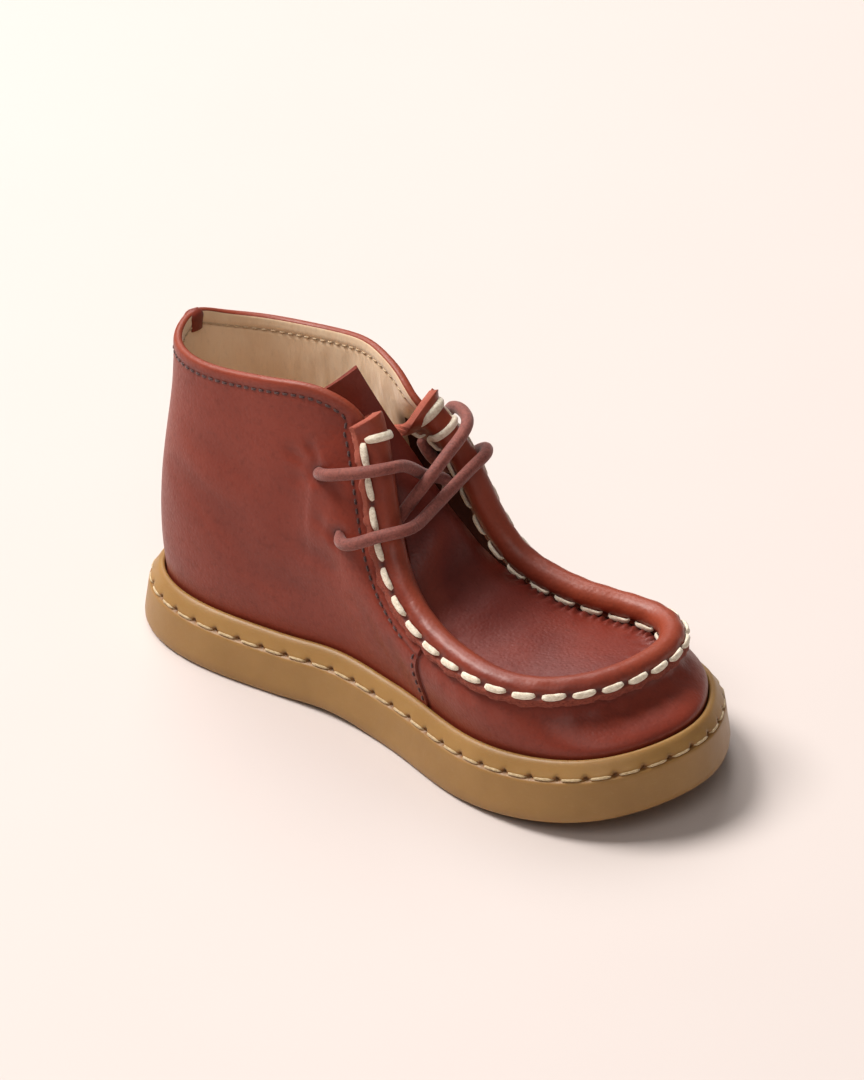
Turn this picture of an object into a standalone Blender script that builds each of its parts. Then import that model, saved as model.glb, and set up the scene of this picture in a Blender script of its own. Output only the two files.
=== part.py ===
"""Child's left moccasin-toe derby boot, EU size 21.

Frame: +X to the toe, +Y to the outer (lateral) side, +Z up, origin on the floor under the
middle of the heel's flat spot.  All driving sizes are in millimetres; meshes are in metres.
"""
import bpy
import bmesh
import math
import numpy as np

MM = 0.001
COLLECTION = "moccasin_derby_left"
SHARP_ANGLE = 40.0

# ---------------------------------------------------------------- sole
# Outline of the sole seen from above: columns x, y.  It runs from the back of the heel along the
# lateral side to the toe and returns along the medial side, whose waist is cut in.
SOLE_OUTLINE = (
    (-24.2, 0.0), (-19.2, 14.9), (-7.0, 22.9), (11.0, 26.3), (36.0, 27.3), (59.2, 30.0),
    (79.1, 32.2), (96.0, 31.2), (110.4, 24.8), (119.9, 14.2), (125.6, 0.0), (123.6, -14.0),
    (115.0, -25.7), (99.0, -31.6), (81.0, -31.0), (61.0, -25.3), (39.0, -22.3), (13.0, -24.2),
    (-7.0, -22.0), (-19.0, -14.0),
)
TOE_POINT_ROW = 10
SPRING_START = 72.0
SPRING_END = 125.6
TOE_SPRING = 7.0
ARCH_START = 24.0
ARCH_END = 56.0
ARCH_LIFT = 0.8
# Cross-section of the cup's rim, bottom edge to lip to floor: columns inset from the outline, z.
CUP_SECTION = (
    (1.2, 0.0), (0.2, 0.6), (0.0, 2.0), (0.9, 8.6), (1.3, 9.6), (2.0, 11.2), (2.9, 12.8),
    (3.5, 13.5), (4.2, 13.6), (4.6, 13.2), (4.6, 6.2),
)
LIP_HEIGHT = 13.6
CUP_INSET = 4.6
CUP_FLOOR = 6.2
GAP = 0.3

# ---------------------------------------------------------------- upper
WALL = 1.8
MARGIN_BOTTOM = CUP_FLOOR + GAP
UPPER_INSET = CUP_INSET + GAP
FOOT_RISE = 0.9
FOOT_FLARE = 0.16
# Upper edge of the upper, from the back seam to the toe: columns x, y, z, base, lean.  base is the
# share of the way round the sole from heel to toe where this part of the upper stands, and lean
# turns the edge from upright (0) to lying towards the throat (1).
LATERAL_EDGE = (
    (-15.2, 0.0, 71.0, 0.000, 0.00), (-13.4, 7.0, 68.8, 0.060, 0.00),
    (-7.2, 12.4, 67.6, 0.130, 0.00), (2.4, 15.3, 67.8, 0.210, 0.00),
    (12.0, 16.0, 68.8, 0.280, 0.00), (21.0, 15.0, 69.7, 0.320, 0.05),
    (27.6, 12.8, 69.3, 0.345, 0.15), (33.8, 10.5, 67.6, 0.370, 0.40),
    (39.4, 8.6, 64.3, 0.390, 0.80), (44.6, 10.7, 58.4, 0.410, 1.00),
    (49.4, 12.8, 50.8, 0.435, 1.00), (53.0, 13.8, 43.4, 0.460, 1.00),
    (57.2, 14.2, 36.8, 0.490, 0.85), (63.0, 14.4, 31.7, 0.530, 0.60),
    (71.0, 14.7, 29.1, 0.582, 0.35), (80.0, 15.5, 28.0, 0.642, 0.20),
    (89.5, 17.4, 27.6, 0.708, 0.10), (98.2, 17.6, 27.7, 0.776, 0.00),
    (104.8, 13.7, 28.1, 0.850, 0.00), (108.2, 7.1, 28.5, 0.925, 0.00),
)
MEDIAL_EDGE = (
    (-13.4, -7.0, 69.6, 0.060, 0.00), (-7.2, -12.3, 69.2, 0.130, 0.00),
    (2.4, -15.0, 69.9, 0.210, 0.00), (12.0, -15.3, 71.2, 0.280, 0.00),
    (21.0, -14.8, 72.6, 0.328, 0.05), (28.5, -13.3, 73.2, 0.354, 0.15),
    (34.8, -11.4, 71.8, 0.376, 0.40), (40.2, -9.4, 67.4, 0.394, 0.80),
    (43.6, -10.4, 60.8, 0.410, 1.00), (46.8, -12.4, 53.0, 0.430, 1.00),
    (50.2, -14.6, 45.2, 0.454, 1.00), (54.6, -17.0, 38.6, 0.482, 0.85),
    (60.8, -19.4, 33.6, 0.520, 0.60), (68.6, -21.8, 30.4, 0.566, 0.35),
    (77.5, -24.0, 28.9, 0.622, 0.20), (86.4, -25.1, 28.2, 0.682, 0.10),
    (95.2, -23.6, 28.1, 0.750, 0.00), (102.0, -18.6, 28.3, 0.822, 0.00),
    (106.4, -12.0, 28.6, 0.890, 0.00), (108.8, -2.6, 28.7, 0.970, 0.00),
)
FACING_ROW = 8
THROAT_ROW = 13
LEAN_FORWARD = 0.78
LEAN_INWARD = 0.52
LEAN_UP = 0.34
SIDE_BLEND = 4.0
COLLAR_TILT = 0.06
TOE_TILT = 0.40
TILT_START = 50.0
TILT_END = 85.0
ROWS_UP = 9
RIM_STRAIGHT = 3.9
SPANS_PER_ROW = 2
SLOPE_STEP = 0.1

# ---------------------------------------------------------------- seam strip
STRIP_HALF_WIDTH = 2.9
STRIP_TOE_HALF_HEIGHT = 3.1
STRIP_FACING_HALF_HEIGHT = 3.7
STRIP_FLARE = 1.4
STRIP_FLARE_LENGTH = 9.0
STRIP_LEATHER = 1.5
STRIP_ARC_STEPS = 4

# ---------------------------------------------------------------- apron and tongue
APRON_LEATHER = 1.6
APRON_GAP = 0.5
APRON_DROP = 2.0
APRON_CROWN = 2.4
# Edges of the tongue from the throat up: columns lateral x, y, z, medial x, y, z, crown.  It has
# slipped to the medial side, where it lies along the inside of the quarter.
TONGUE_EDGES = (
    (55.4, 9.0, 35.8, 53.0, -10.4, 38.8, 4.0),
    (49.8, 6.2, 43.8, 47.2, -7.6, 45.9, 3.4),
    (44.0, 4.4, 52.4, 38.4, -9.8, 53.0, 3.2),
    (39.6, 1.4, 60.6, 30.0, -11.4, 58.2, 3.0),
    (36.4, -1.6, 68.2, 24.0, -11.0, 61.6, 2.6),
    (33.9, -4.2, 74.8, 21.4, -10.8, 64.8, 2.2),
)
APRON_ROWS = 15
APRON_COLUMNS = 10

# ---------------------------------------------------------------- insole
INSOLE_THICKNESS = 2.6
INSOLE_INSET = UPPER_INSET + WALL + GAP

# ---------------------------------------------------------------- lace
LACE_RADIUS = 1.35
LACE_SPACING = 3.0
ROUTE_STEPS = 24
# Middle line of each stretch of lace, from one eyelet to the next or to where it is tucked in.
LACE_BAR_ROUTE = (
    (42.0, -21.8, 42.6), (45.2, -21.7, 43.8), (48.9, -20.8, 45.6), (52.0, -19.1, 47.2),
    (55.4, -15.9, 48.2), (55.8, -11.4, 47.8), (55.1, -6.0, 48.5), (54.7, -1.0, 49.6),
    (54.5, 5.0, 51.3), (54.4, 10.0, 52.7), (54.4, 13.8, 53.6), (52.1, 17.0, 53.0),
    (48.6, 19.0, 50.5), (45.2, 20.8, 47.4), (42.6, 21.7, 44.6),
)
LACE_MEDIAL_ROUTE = (
    (35.0, -18.8, 55.8), (38.0, -19.1, 57.0), (41.0, -18.3, 57.9), (43.9, -17.1, 58.6),
    (47.5, -15.0, 59.6), (49.8, -12.1, 59.9), (50.0, -8.6, 59.0), (49.8, -5.0, 56.6),
    (49.4, -1.5, 53.7), (49.3, 2.0, 51.5), (49.2, 5.0, 50.0), (48.9, 7.6, 47.9),
    (48.0, 9.2, 45.2), (46.6, 10.0, 42.4),
)
LACE_LATERAL_ROUTE = (
    (36.8, 19.4, 53.5), (39.8, 19.2, 56.8), (43.0, 16.9, 59.9), (47.2, 14.7, 61.5),
    (51.2, 11.7, 61.5), (53.0, 7.3, 60.4), (53.2, 2.3, 58.2), (52.8, -2.2, 55.2),
    (51.8, -6.0, 51.8), (50.5, -8.7, 48.5), (49.1, -9.7, 45.6), (47.3, -10.7, 43.2),
)

LEATHER_COLOUR = (0.27, 0.052, 0.032, 1.0)
STRIP_COLOUR = (0.30, 0.060, 0.036, 1.0)
INSOLE_COLOUR = (0.78, 0.52, 0.30, 1.0)
RUBBER_COLOUR = (0.42, 0.24, 0.09, 1.0)
LACE_COLOUR = (0.13, 0.045, 0.042, 1.0)


def periodic_spline(points, knots, at):
    """Smooth closed curve through points; knots has one more value, where the curve closes."""
    count = len(points)
    spans = np.diff(knots)
    slopes = (np.roll(points, -1, axis=0) - points) / spans[:, None]
    system = np.zeros((count, count))
    right = np.zeros_like(points)
    for i in range(count):
        system[i, i - 1] += spans[i - 1]
        system[i, i] += 2.0 * (spans[i - 1] + spans[i])
        system[i, (i + 1) % count] += spans[i]
        right[i] = 6.0 * (slopes[i] - slopes[i - 1])
    bend = np.linalg.solve(system, right)
    at = np.mod(at, knots[-1])
    span = np.clip(np.searchsorted(knots, at, side="right") - 1, 0, count - 1)
    after = (span + 1) % count
    width = spans[span][:, None]
    along = at[:, None] - knots[span][:, None]
    left = width - along
    return (bend[span] * left ** 3 + bend[after] * along ** 3) / (6.0 * width) \
        + (points[span] / width - bend[span] * width / 6.0) * left \
        + (points[after] / width - bend[after] * width / 6.0) * along


def chord_knots(points):
    closed = np.vstack([points, points[:1]])
    return np.concatenate([[0.0], np.cumsum(np.linalg.norm(np.diff(closed, axis=0), axis=1))])


def unit(vectors):
    return vectors / np.linalg.norm(vectors, axis=-1, keepdims=True)


def lift(x):
    """Height of the sole's underside over the floor: toe spring and a slight arch."""
    spring = np.clip((x - SPRING_START) / (SPRING_END - SPRING_START), 0.0, None)
    arch = np.clip((x - ARCH_START) / (ARCH_END - ARCH_START), 0.0, 1.0)
    return TOE_SPRING * spring ** 2 + ARCH_LIFT * np.sin(math.pi * arch) ** 2


# Knots along the outline, so that a share of the way round gives a point.
OUTLINE_ROWS = np.array(SOLE_OUTLINE)
OUTLINE_KNOTS = chord_knots(OUTLINE_ROWS)
TOE_KNOT = OUTLINE_KNOTS[TOE_POINT_ROW]


def outline(share, inset):
    """Point of the sole's outline, moved inwards; share is 0 at the heel, 1 at the toe, 2 again at
    the heel, first along the lateral side and back along the medial side."""
    share = np.mod(np.asarray(share, float), 2.0)
    rest = OUTLINE_KNOTS[-1] - TOE_KNOT
    at = np.where(share <= 1.0, share * TOE_KNOT, TOE_KNOT + (share - 1.0) * rest)
    here = periodic_spline(OUTLINE_ROWS, OUTLINE_KNOTS, at)
    ahead = periodic_spline(OUTLINE_ROWS, OUTLINE_KNOTS, at + SLOPE_STEP)
    behind = periodic_spline(OUTLINE_ROWS, OUTLINE_KNOTS, at - SLOPE_STEP)
    along = unit(ahead - behind)
    inward = np.stack([along[:, 1], -along[:, 0]], axis=1)
    return here + inward * inset


# Rows of the upper's edge all the way round: x, y, z, base, lean.
EDGE_ROWS = np.array(
    LATERAL_EDGE + tuple((x, y, z, 2.0 - base, lean) for x, y, z, base, lean in MEDIAL_EDGE[::-1])
)
EDGE_KNOTS = chord_knots(EDGE_ROWS[:, :3])
EDGE_DRIFT = 2.0 * EDGE_KNOTS[:-1] / EDGE_KNOTS[-1]
LATERAL_FACING = EDGE_KNOTS[FACING_ROW]
MEDIAL_FACING = EDGE_KNOTS[len(EDGE_ROWS) - FACING_ROW]
LATERAL_THROAT = EDGE_KNOTS[THROAT_ROW]
MEDIAL_THROAT = EDGE_KNOTS[len(EDGE_ROWS) - THROAT_ROW]


def edge(at):
    """Upper edge of the upper at distances along its rows: point, base share and lean."""
    rows = EDGE_ROWS.copy()
    rows[:, 3] -= EDGE_DRIFT
    values = periodic_spline(rows, EDGE_KNOTS, at)
    base = values[:, 3] + 2.0 * np.mod(at, EDGE_KNOTS[-1]) / EDGE_KNOTS[-1]
    return values[:, :3], base, np.clip(values[:, 4:5], 0.0, 1.0)


def edge_frames(at):
    """Point of the edge, the way into the throat, the fold way, the base share and the lean."""
    middle, base, lean = edge(at)
    along = unit(edge(at + SLOPE_STEP)[0] - edge(at - SLOPE_STEP)[0])
    side = np.tanh(middle[:, 1:2] / SIDE_BLEND)
    one = np.ones_like(side)
    towards_throat = np.hstack([LEAN_FORWARD * one, -LEAN_INWARD * side, LEAN_UP * one])
    level_inward = unit(np.cross(along, [0.0, 0.0, 1.0]))
    blend = np.clip((middle[:, 0:1] - TILT_START) / (TILT_END - TILT_START), 0.0, 1.0)
    tilt = COLLAR_TILT + (TOE_TILT - COLLAR_TILT) * blend
    upright = np.array([0.0, 0.0, 1.0]) + tilt * level_inward
    fold = (1.0 - lean) * upright + lean * towards_throat
    fold = unit(fold - along * np.sum(fold * along, axis=1, keepdims=True))
    return middle, np.cross(along, fold), fold, base, lean


def edge_stations(start, end):
    """Distances along the edge between two rows, each row's span cut into equal parts."""
    inner = EDGE_KNOTS[(EDGE_KNOTS > start + 1e-6) & (EDGE_KNOTS < end - 1e-6)]
    marks = np.concatenate([[start], inner, [end]])
    steps = [np.linspace(a, b, SPANS_PER_ROW, endpoint=False) for a, b in zip(marks[:-1], marks[1:])]
    return np.concatenate(steps + [[end]])


RING = edge_stations(0.0, EDGE_KNOTS[-1])[:-1]


def ring_shares():
    """Shares of the way round the sole under each station of the upper's edge."""
    return edge(RING)[1]


def upper_rib(at, rises):
    """Outer face of the upper over one or more stations: array of stations by rises."""
    middle, inward, fold, base, _ = edge_frames(at)
    rim = middle - inward * WALL / 2.0
    top = rim - fold * RIM_STRAIGHT
    foot_xy = outline(base, UPPER_INSET)
    foot = np.column_stack([foot_xy, LIP_HEIGHT + lift(foot_xy[:, 0])])
    outward = unit(outline(base, 0.0) - foot_xy)
    start_way = unit(np.column_stack([outward * FOOT_FLARE, np.full(len(at), FOOT_RISE)]))
    reach = np.linalg.norm(top - foot, axis=1)[:, None, None]
    t = np.asarray(rises)[None, :, None]
    from_foot = 2 * t ** 3 - 3 * t ** 2 + 1
    from_top = 1.0 - from_foot
    leave = (t ** 3 - 2 * t ** 2 + t) * reach
    arrive = (t ** 3 - t ** 2) * reach
    ribs = from_foot * foot[:, None] + from_top * top[:, None] \
        + leave * start_way[:, None] + arrive * fold[:, None]
    return np.concatenate([ribs, rim[:, None]], axis=1)


# ---------------------------------------------------------------- Blender helpers
def material(name, colour, roughness):
    made = bpy.data.materials.new(name)
    made.use_nodes = True
    shader = made.node_tree.nodes["Principled BSDF"]
    shader.inputs["Base Color"].default_value = colour
    shader.inputs["Roughness"].default_value = roughness
    shader.inputs["Metallic"].default_value = 0.0
    made.diffuse_color = colour
    return made


def add_object(name, points, faces, finish):
    """Object of a collection from points in millimetres, shaded smooth, faces turned outwards."""
    mesh = bpy.data.meshes.new(name)
    mesh.from_pydata([tuple(p) for p in np.asarray(points) * MM], [], faces)
    work = bmesh.new()
    work.from_mesh(mesh)
    bmesh.ops.recalc_face_normals(work, faces=work.faces)
    work.to_mesh(mesh)
    work.free()
    mesh.shade_smooth()
    mesh.set_sharp_from_angle(angle=math.radians(SHARP_ANGLE))
    mesh.materials.append(finish)
    made = bpy.data.objects.new(name, mesh)
    bpy.data.collections[COLLECTION].objects.link(made)
    return made


def band_faces(count, first, second, closed):
    """Quads between two rows of count points that start at the given indices."""
    last = count if closed else count - 1
    return [
        (first + i, first + (i + 1) % count, second + (i + 1) % count, second + i)
        for i in range(last)
    ]


def ladder_faces(count, first):
    """Quads across a ring of points whose stations k and count-k face each other."""
    faces = [(first, first + 1, first + count - 1)]
    half = count // 2
    for i in range(1, half - 1):
        faces.append((first + i, first + i + 1, first + count - i - 1, first + count - i))
    faces.append((first + half - 1, first + half, first + half + 1))
    return faces


# ---------------------------------------------------------------- pieces
def build_outsole():
    """Cup sole: flat tread, upright side wall, sloping shoulder with a lip, and the cup inside."""
    shares = ring_shares()
    count = len(shares)
    points = []
    for inset, height in CUP_SECTION:
        ring = outline(shares, inset)
        points.append(np.column_stack([ring, height + lift(ring[:, 0])]))
    faces = []
    for row in range(len(CUP_SECTION) - 1):
        faces += band_faces(count, row * count, (row + 1) * count, True)
    faces += ladder_faces(count, 0)
    faces += ladder_faces(count, (len(CUP_SECTION) - 1) * count)
    finish = material("gum_rubber", RUBBER_COLOUR, 0.55)
    return add_object("outsole", np.vstack(points), faces, finish)


def build_insole():
    """Footbed sheet lying in the cup inside the upper's margin."""
    shares = ring_shares()
    count = len(shares)
    points = []
    for height in (CUP_FLOOR + GAP, CUP_FLOOR + GAP + INSOLE_THICKNESS):
        ring = outline(shares, INSOLE_INSET)
        points.append(np.column_stack([ring, height + lift(ring[:, 0])]))
    faces = band_faces(count, 0, count, True) + ladder_faces(count, 0) + ladder_faces(count, count)
    finish = material("insole_leather", INSOLE_COLOUR, 0.7)
    return add_object("insole", np.vstack(points), faces, finish)


def build_upper():
    """Vamp wall and quarters: one hollow wall from the cup to the collar and the seam strip."""
    shares = ring_shares()
    foot = outline(shares, UPPER_INSET)
    rows = [np.column_stack([foot, MARGIN_BOTTOM + lift(foot[:, 0])])]
    rises = np.linspace(0.0, 1.0, ROWS_UP + 1)
    ribs = upper_rib(RING, rises)
    rows += [ribs[:, i] for i in range(ribs.shape[1])]
    count = len(RING)
    faces = []
    for row in range(len(rows) - 1):
        faces += band_faces(count, row * count, (row + 1) * count, True)
    finish = material("upper_leather", LEATHER_COLOUR, 0.45)
    made = add_object("upper", np.vstack(rows), faces, finish)
    shell = made.modifiers.new("wall", "SOLIDIFY")
    shell.thickness = WALL * MM
    shell.offset = -1.0
    shell.use_even_offset = True
    return made


def strip_section(half_width, half_height):
    """Closed section of the folded strip, across and along its fold, open below."""
    points = []
    for half, outer in ((half_width, True), (half_width - STRIP_LEATHER, False)):
        side = [(-half, -half_height)]
        for step in range(STRIP_ARC_STEPS + 1):
            turn = math.pi * (1.0 - step / STRIP_ARC_STEPS)
            rise = half_height - half_width + half * math.sin(turn)
            side.append((half * math.cos(turn), rise))
        side.append((half, -half_height))
        points += side if outer else side[::-1]
    return points


def build_strip():
    """Leather strip folded over the seam, from one facing's top round the toe to the other.  Its
    two ends spread open where they stop at the collar."""
    at = edge_stations(LATERAL_FACING, MEDIAL_FACING)
    middle, inward, fold, _, lean = edge_frames(at)
    to_end = np.minimum(at - at[0], at[-1] - at)
    flare = STRIP_FLARE * np.clip(1.0 - to_end / STRIP_FLARE_LENGTH, 0.0, 1.0) ** 2
    points = []
    for centre, across, up, leaning, spread in zip(middle, inward, fold, lean[:, 0], flare):
        half_height = STRIP_TOE_HALF_HEIGHT
        half_height += leaning * (STRIP_FACING_HALF_HEIGHT - STRIP_TOE_HALF_HEIGHT)
        for a, b in strip_section(STRIP_HALF_WIDTH + spread, half_height):
            points.append(centre + across * a + up * b)
    count = len(points) // len(at)
    faces = []
    for row in range(len(at) - 1):
        faces += band_faces(count, row * count, (row + 1) * count, True)
    faces.append(tuple(range(count)))
    last = (len(at) - 1) * count
    faces.append(tuple(range(last, last + count)))
    finish = material("seam_strip_leather", STRIP_COLOUR, 0.5)
    return add_object("seam_strip", points, faces, finish)


def apron_edges():
    """Edges of the apron and tongue from the toe back and up: lateral, medial and crown."""
    toe = 0.5 * (LATERAL_THROAT + MEDIAL_THROAT)
    steps = np.linspace(0.0, 1.0, APRON_ROWS)
    sides = []
    for throat in (LATERAL_THROAT, MEDIAL_THROAT):
        at = toe + (throat - toe) * steps
        middle, inward, fold, _, _ = edge_frames(at)
        sides.append(middle + inward * (STRIP_HALF_WIDTH + APRON_GAP) - fold * APRON_DROP)
    crown = APRON_CROWN * np.sqrt(steps)
    table = np.array(TONGUE_EDGES)
    return (
        np.vstack([sides[0], table[:, 0:3]]),
        np.vstack([sides[1], table[:, 3:6]]),
        np.concatenate([crown, table[:, 6]]),
    )


def build_apron_tongue():
    """Apron over the toes that runs on as the tongue, one piece of leather."""
    lateral, medial, crown = apron_edges()
    across = np.linspace(0.0, 1.0, APRON_COLUMNS + 1)
    rows = []
    for left, right, rise in zip(lateral[1:], medial[1:], crown[1:]):
        rows.append(left + (right - left) * across[:, None])
    rows = np.array(rows)
    middle = rows[:, APRON_COLUMNS // 2]
    along = unit(np.gradient(middle, axis=0))
    wide = unit(rows[:, 0] - rows[:, -1])
    out = unit(np.cross(wide, along))
    out[out[:, 2] < 0.0] *= -1.0
    arch = 4.0 * across * (1.0 - across)
    rows += out[:, None] * (crown[1:, None] * arch)[:, :, None]
    count = APRON_COLUMNS + 1
    faces = []
    for row in range(len(rows) - 1):
        faces += band_faces(count, row * count, (row + 1) * count, False)
    finish = material("apron_leather", LEATHER_COLOUR, 0.42)
    made = add_object("apron_tongue", rows.reshape(-1, 3), faces, finish)
    shell = made.modifiers.new("leather", "SOLIDIFY")
    shell.thickness = APRON_LEATHER * MM
    shell.offset = -1.0
    return made


def smooth_route(route, spacing):
    """Points at an even spacing on a smooth curve through a route's points."""
    knots = np.array(route, float)
    ends = np.vstack([2 * knots[0] - knots[1], knots, 2 * knots[-1] - knots[-2]])
    t = np.linspace(0.0, 1.0, ROUTE_STEPS, endpoint=False)[:, None]
    dense = []
    for a, b, c, d in zip(ends[:-3], ends[1:-2], ends[2:-1], ends[3:]):
        bend = (2 * a - 5 * b + 4 * c - d) * t ** 2 + (3 * b - a - 3 * c + d) * t ** 3
        dense.append(0.5 * (2 * b + (c - a) * t + bend))
    dense = np.vstack(dense + [knots[-1:]])
    length = np.concatenate([[0.0], np.cumsum(np.linalg.norm(np.diff(dense, axis=0), axis=1))])
    count = int(round(length[-1] / spacing)) + 1
    at = np.linspace(0.0, length[-1], count)
    return np.stack([np.interp(at, length, dense[:, axis]) for axis in range(3)], axis=1)


def build_lace(name, route, finish):
    """One stretch of round lace along its route."""
    curve = bpy.data.curves.new(name, "CURVE")
    curve.dimensions = "3D"
    curve.bevel_depth = LACE_RADIUS * MM
    curve.bevel_resolution = 2
    curve.use_fill_caps = True
    points = smooth_route(route, LACE_SPACING) * MM
    spline = curve.splines.new("POLY")
    spline.points.add(len(points) - 1)
    for spot, point in zip(spline.points, points):
        spot.co = (*point, 1.0)
    curve.materials.append(finish)
    made = bpy.data.objects.new(name, curve)
    bpy.data.collections[COLLECTION].objects.link(made)
    return made


def build_laces():
    """Lower crossing, and the two ends that leave the top eyelets and are tucked in the throat."""
    finish = material("lace_cord", LACE_COLOUR, 0.8)
    build_lace("lace_bar", LACE_BAR_ROUTE, finish)
    build_lace("lace_end_medial", LACE_MEDIAL_ROUTE, finish)
    build_lace("lace_end_lateral", LACE_LATERAL_ROUTE, finish)


def build():
    for old in list(bpy.data.objects):
        bpy.data.objects.remove(old, do_unlink=True)
    parts = bpy.data.collections.new(COLLECTION)
    bpy.context.scene.collection.children.link(parts)
    build_outsole()
    build_insole()
    build_upper()
    build_strip()
    build_apron_tongue()
    build_laces()


build()
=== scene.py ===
"""Looks of a child's left moccasin-toe derby boot.

Frame: +X to the toe, +Y to the lateral side, +Z up, origin on the floor under the heel.  Sizes are
in millimetres and meshes in metres.  The shapes come from the same tables and functions as the
solids, read at a finer step, with the seams, stitches, creases and tread added on top.
"""

import itertools
import math

import bmesh
import bpy
import numpy as np
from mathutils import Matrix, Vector


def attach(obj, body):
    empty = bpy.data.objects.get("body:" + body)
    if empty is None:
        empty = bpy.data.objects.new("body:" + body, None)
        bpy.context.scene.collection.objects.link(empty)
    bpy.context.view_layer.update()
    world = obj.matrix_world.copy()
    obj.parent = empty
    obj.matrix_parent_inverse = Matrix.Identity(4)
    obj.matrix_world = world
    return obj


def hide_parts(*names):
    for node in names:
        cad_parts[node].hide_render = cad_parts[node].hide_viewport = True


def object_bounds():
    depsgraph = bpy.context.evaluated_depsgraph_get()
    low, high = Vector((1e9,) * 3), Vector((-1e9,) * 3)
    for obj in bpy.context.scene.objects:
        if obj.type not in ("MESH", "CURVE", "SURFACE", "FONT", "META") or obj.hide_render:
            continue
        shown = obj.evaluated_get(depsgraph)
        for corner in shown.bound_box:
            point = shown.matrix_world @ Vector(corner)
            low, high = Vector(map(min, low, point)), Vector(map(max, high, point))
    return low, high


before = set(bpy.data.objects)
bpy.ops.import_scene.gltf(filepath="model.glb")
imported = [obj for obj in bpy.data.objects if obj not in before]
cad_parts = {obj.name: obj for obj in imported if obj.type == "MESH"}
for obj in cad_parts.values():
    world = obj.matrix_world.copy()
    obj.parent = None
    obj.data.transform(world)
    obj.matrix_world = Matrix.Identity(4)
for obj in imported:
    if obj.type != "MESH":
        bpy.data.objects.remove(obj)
cad_box = [list(corner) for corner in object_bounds()]

MM = 0.001
SHARP_ANGLE = math.radians(55.0)
TINY = 1e-6
UP = np.array([0.0, 0.0, 1.0])

# ---------------------------------------------------------------- shape of the solids
# Outline of the sole seen from above: columns x, y, from the heel along the lateral side.
SOLE_OUTLINE = np.array((
    (-24.2, 0.0), (-19.2, 14.9), (-7.0, 22.9), (11.0, 26.3), (36.0, 27.3), (59.2, 30.0),
    (79.1, 32.2), (96.0, 31.2), (110.4, 24.8), (119.9, 14.2), (125.6, 0.0), (123.6, -14.0),
    (115.0, -25.7), (99.0, -31.6), (81.0, -31.0), (61.0, -25.3), (39.0, -22.3), (13.0, -24.2),
    (-7.0, -22.0), (-19.0, -14.0),
))
TOE_POINT_ROW = 10
SPRING_START, SPRING_END, TOE_SPRING = 72.0, 125.6, 7.0
ARCH_START, ARCH_END, ARCH_LIFT = 24.0, 56.0, 0.8
LIP_HEIGHT = 13.6
CUP_FLOOR = 6.2
GAP = 0.3
WALL = 1.8
UPPER_INSET = 4.9
FOOT_RISE, FOOT_FLARE = 0.9, 0.16
RIM_STRAIGHT = 3.9
INSOLE_INSET = UPPER_INSET + WALL + GAP
INSOLE_TOP = CUP_FLOOR + GAP + 2.6
# Upper edge of the upper: columns x, y, z, base, lean, as in the solids' source.
LATERAL_EDGE = (
    (-15.2, 0.0, 71.0, 0.000, 0.00), (-13.4, 7.0, 68.8, 0.060, 0.00),
    (-7.2, 12.4, 67.6, 0.130, 0.00), (2.4, 15.3, 67.8, 0.210, 0.00),
    (12.0, 16.0, 68.8, 0.280, 0.00), (21.0, 15.0, 69.7, 0.320, 0.05),
    (27.6, 12.8, 69.3, 0.345, 0.15), (33.8, 10.5, 67.6, 0.370, 0.40),
    (39.4, 8.6, 64.3, 0.390, 0.80), (44.6, 10.7, 58.4, 0.410, 1.00),
    (49.4, 12.8, 50.8, 0.435, 1.00), (53.0, 13.8, 43.4, 0.460, 1.00),
    (57.2, 14.2, 36.8, 0.490, 0.85), (63.0, 14.4, 31.7, 0.530, 0.60),
    (71.0, 14.7, 29.1, 0.582, 0.35), (80.0, 15.5, 28.0, 0.642, 0.20),
    (89.5, 17.4, 27.6, 0.708, 0.10), (98.2, 17.6, 27.7, 0.776, 0.00),
    (104.8, 13.7, 28.1, 0.850, 0.00), (108.2, 7.1, 28.5, 0.925, 0.00),
)
MEDIAL_EDGE = (
    (-13.4, -7.0, 69.6, 0.060, 0.00), (-7.2, -12.3, 69.2, 0.130, 0.00),
    (2.4, -15.0, 69.9, 0.210, 0.00), (12.0, -15.3, 71.2, 0.280, 0.00),
    (21.0, -14.8, 72.6, 0.328, 0.05), (28.5, -13.3, 73.2, 0.354, 0.15),
    (34.8, -11.4, 71.8, 0.376, 0.40), (40.2, -9.4, 67.4, 0.394, 0.80),
    (43.6, -10.4, 60.8, 0.410, 1.00), (46.8, -12.4, 53.0, 0.430, 1.00),
    (50.2, -14.6, 45.2, 0.454, 1.00), (54.6, -17.0, 38.6, 0.482, 0.85),
    (60.8, -19.4, 33.6, 0.520, 0.60), (68.6, -21.8, 30.4, 0.566, 0.35),
    (77.5, -24.0, 28.9, 0.622, 0.20), (86.4, -25.1, 28.2, 0.682, 0.10),
    (95.2, -23.6, 28.1, 0.750, 0.00), (102.0, -18.6, 28.3, 0.822, 0.00),
    (106.4, -12.0, 28.6, 0.890, 0.00), (108.8, -2.6, 28.7, 0.970, 0.00),
)
FACING_ROW, THROAT_ROW = 8, 13
LEAN_FORWARD, LEAN_INWARD, LEAN_UP = 0.78, 0.52, 0.34
SIDE_BLEND = 4.0
COLLAR_TILT, TOE_TILT, TILT_START, TILT_END = 0.06, 0.40, 50.0, 85.0
# Step to either side that gives a curve's direction.
SLOPE_STEP = 0.1
# Rounding of the upper's rim, and how far its hidden margin goes down behind the lip.
RIM_ROUND = 0.7
MARGIN_DROPS = (7.1, 3.0)
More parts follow.
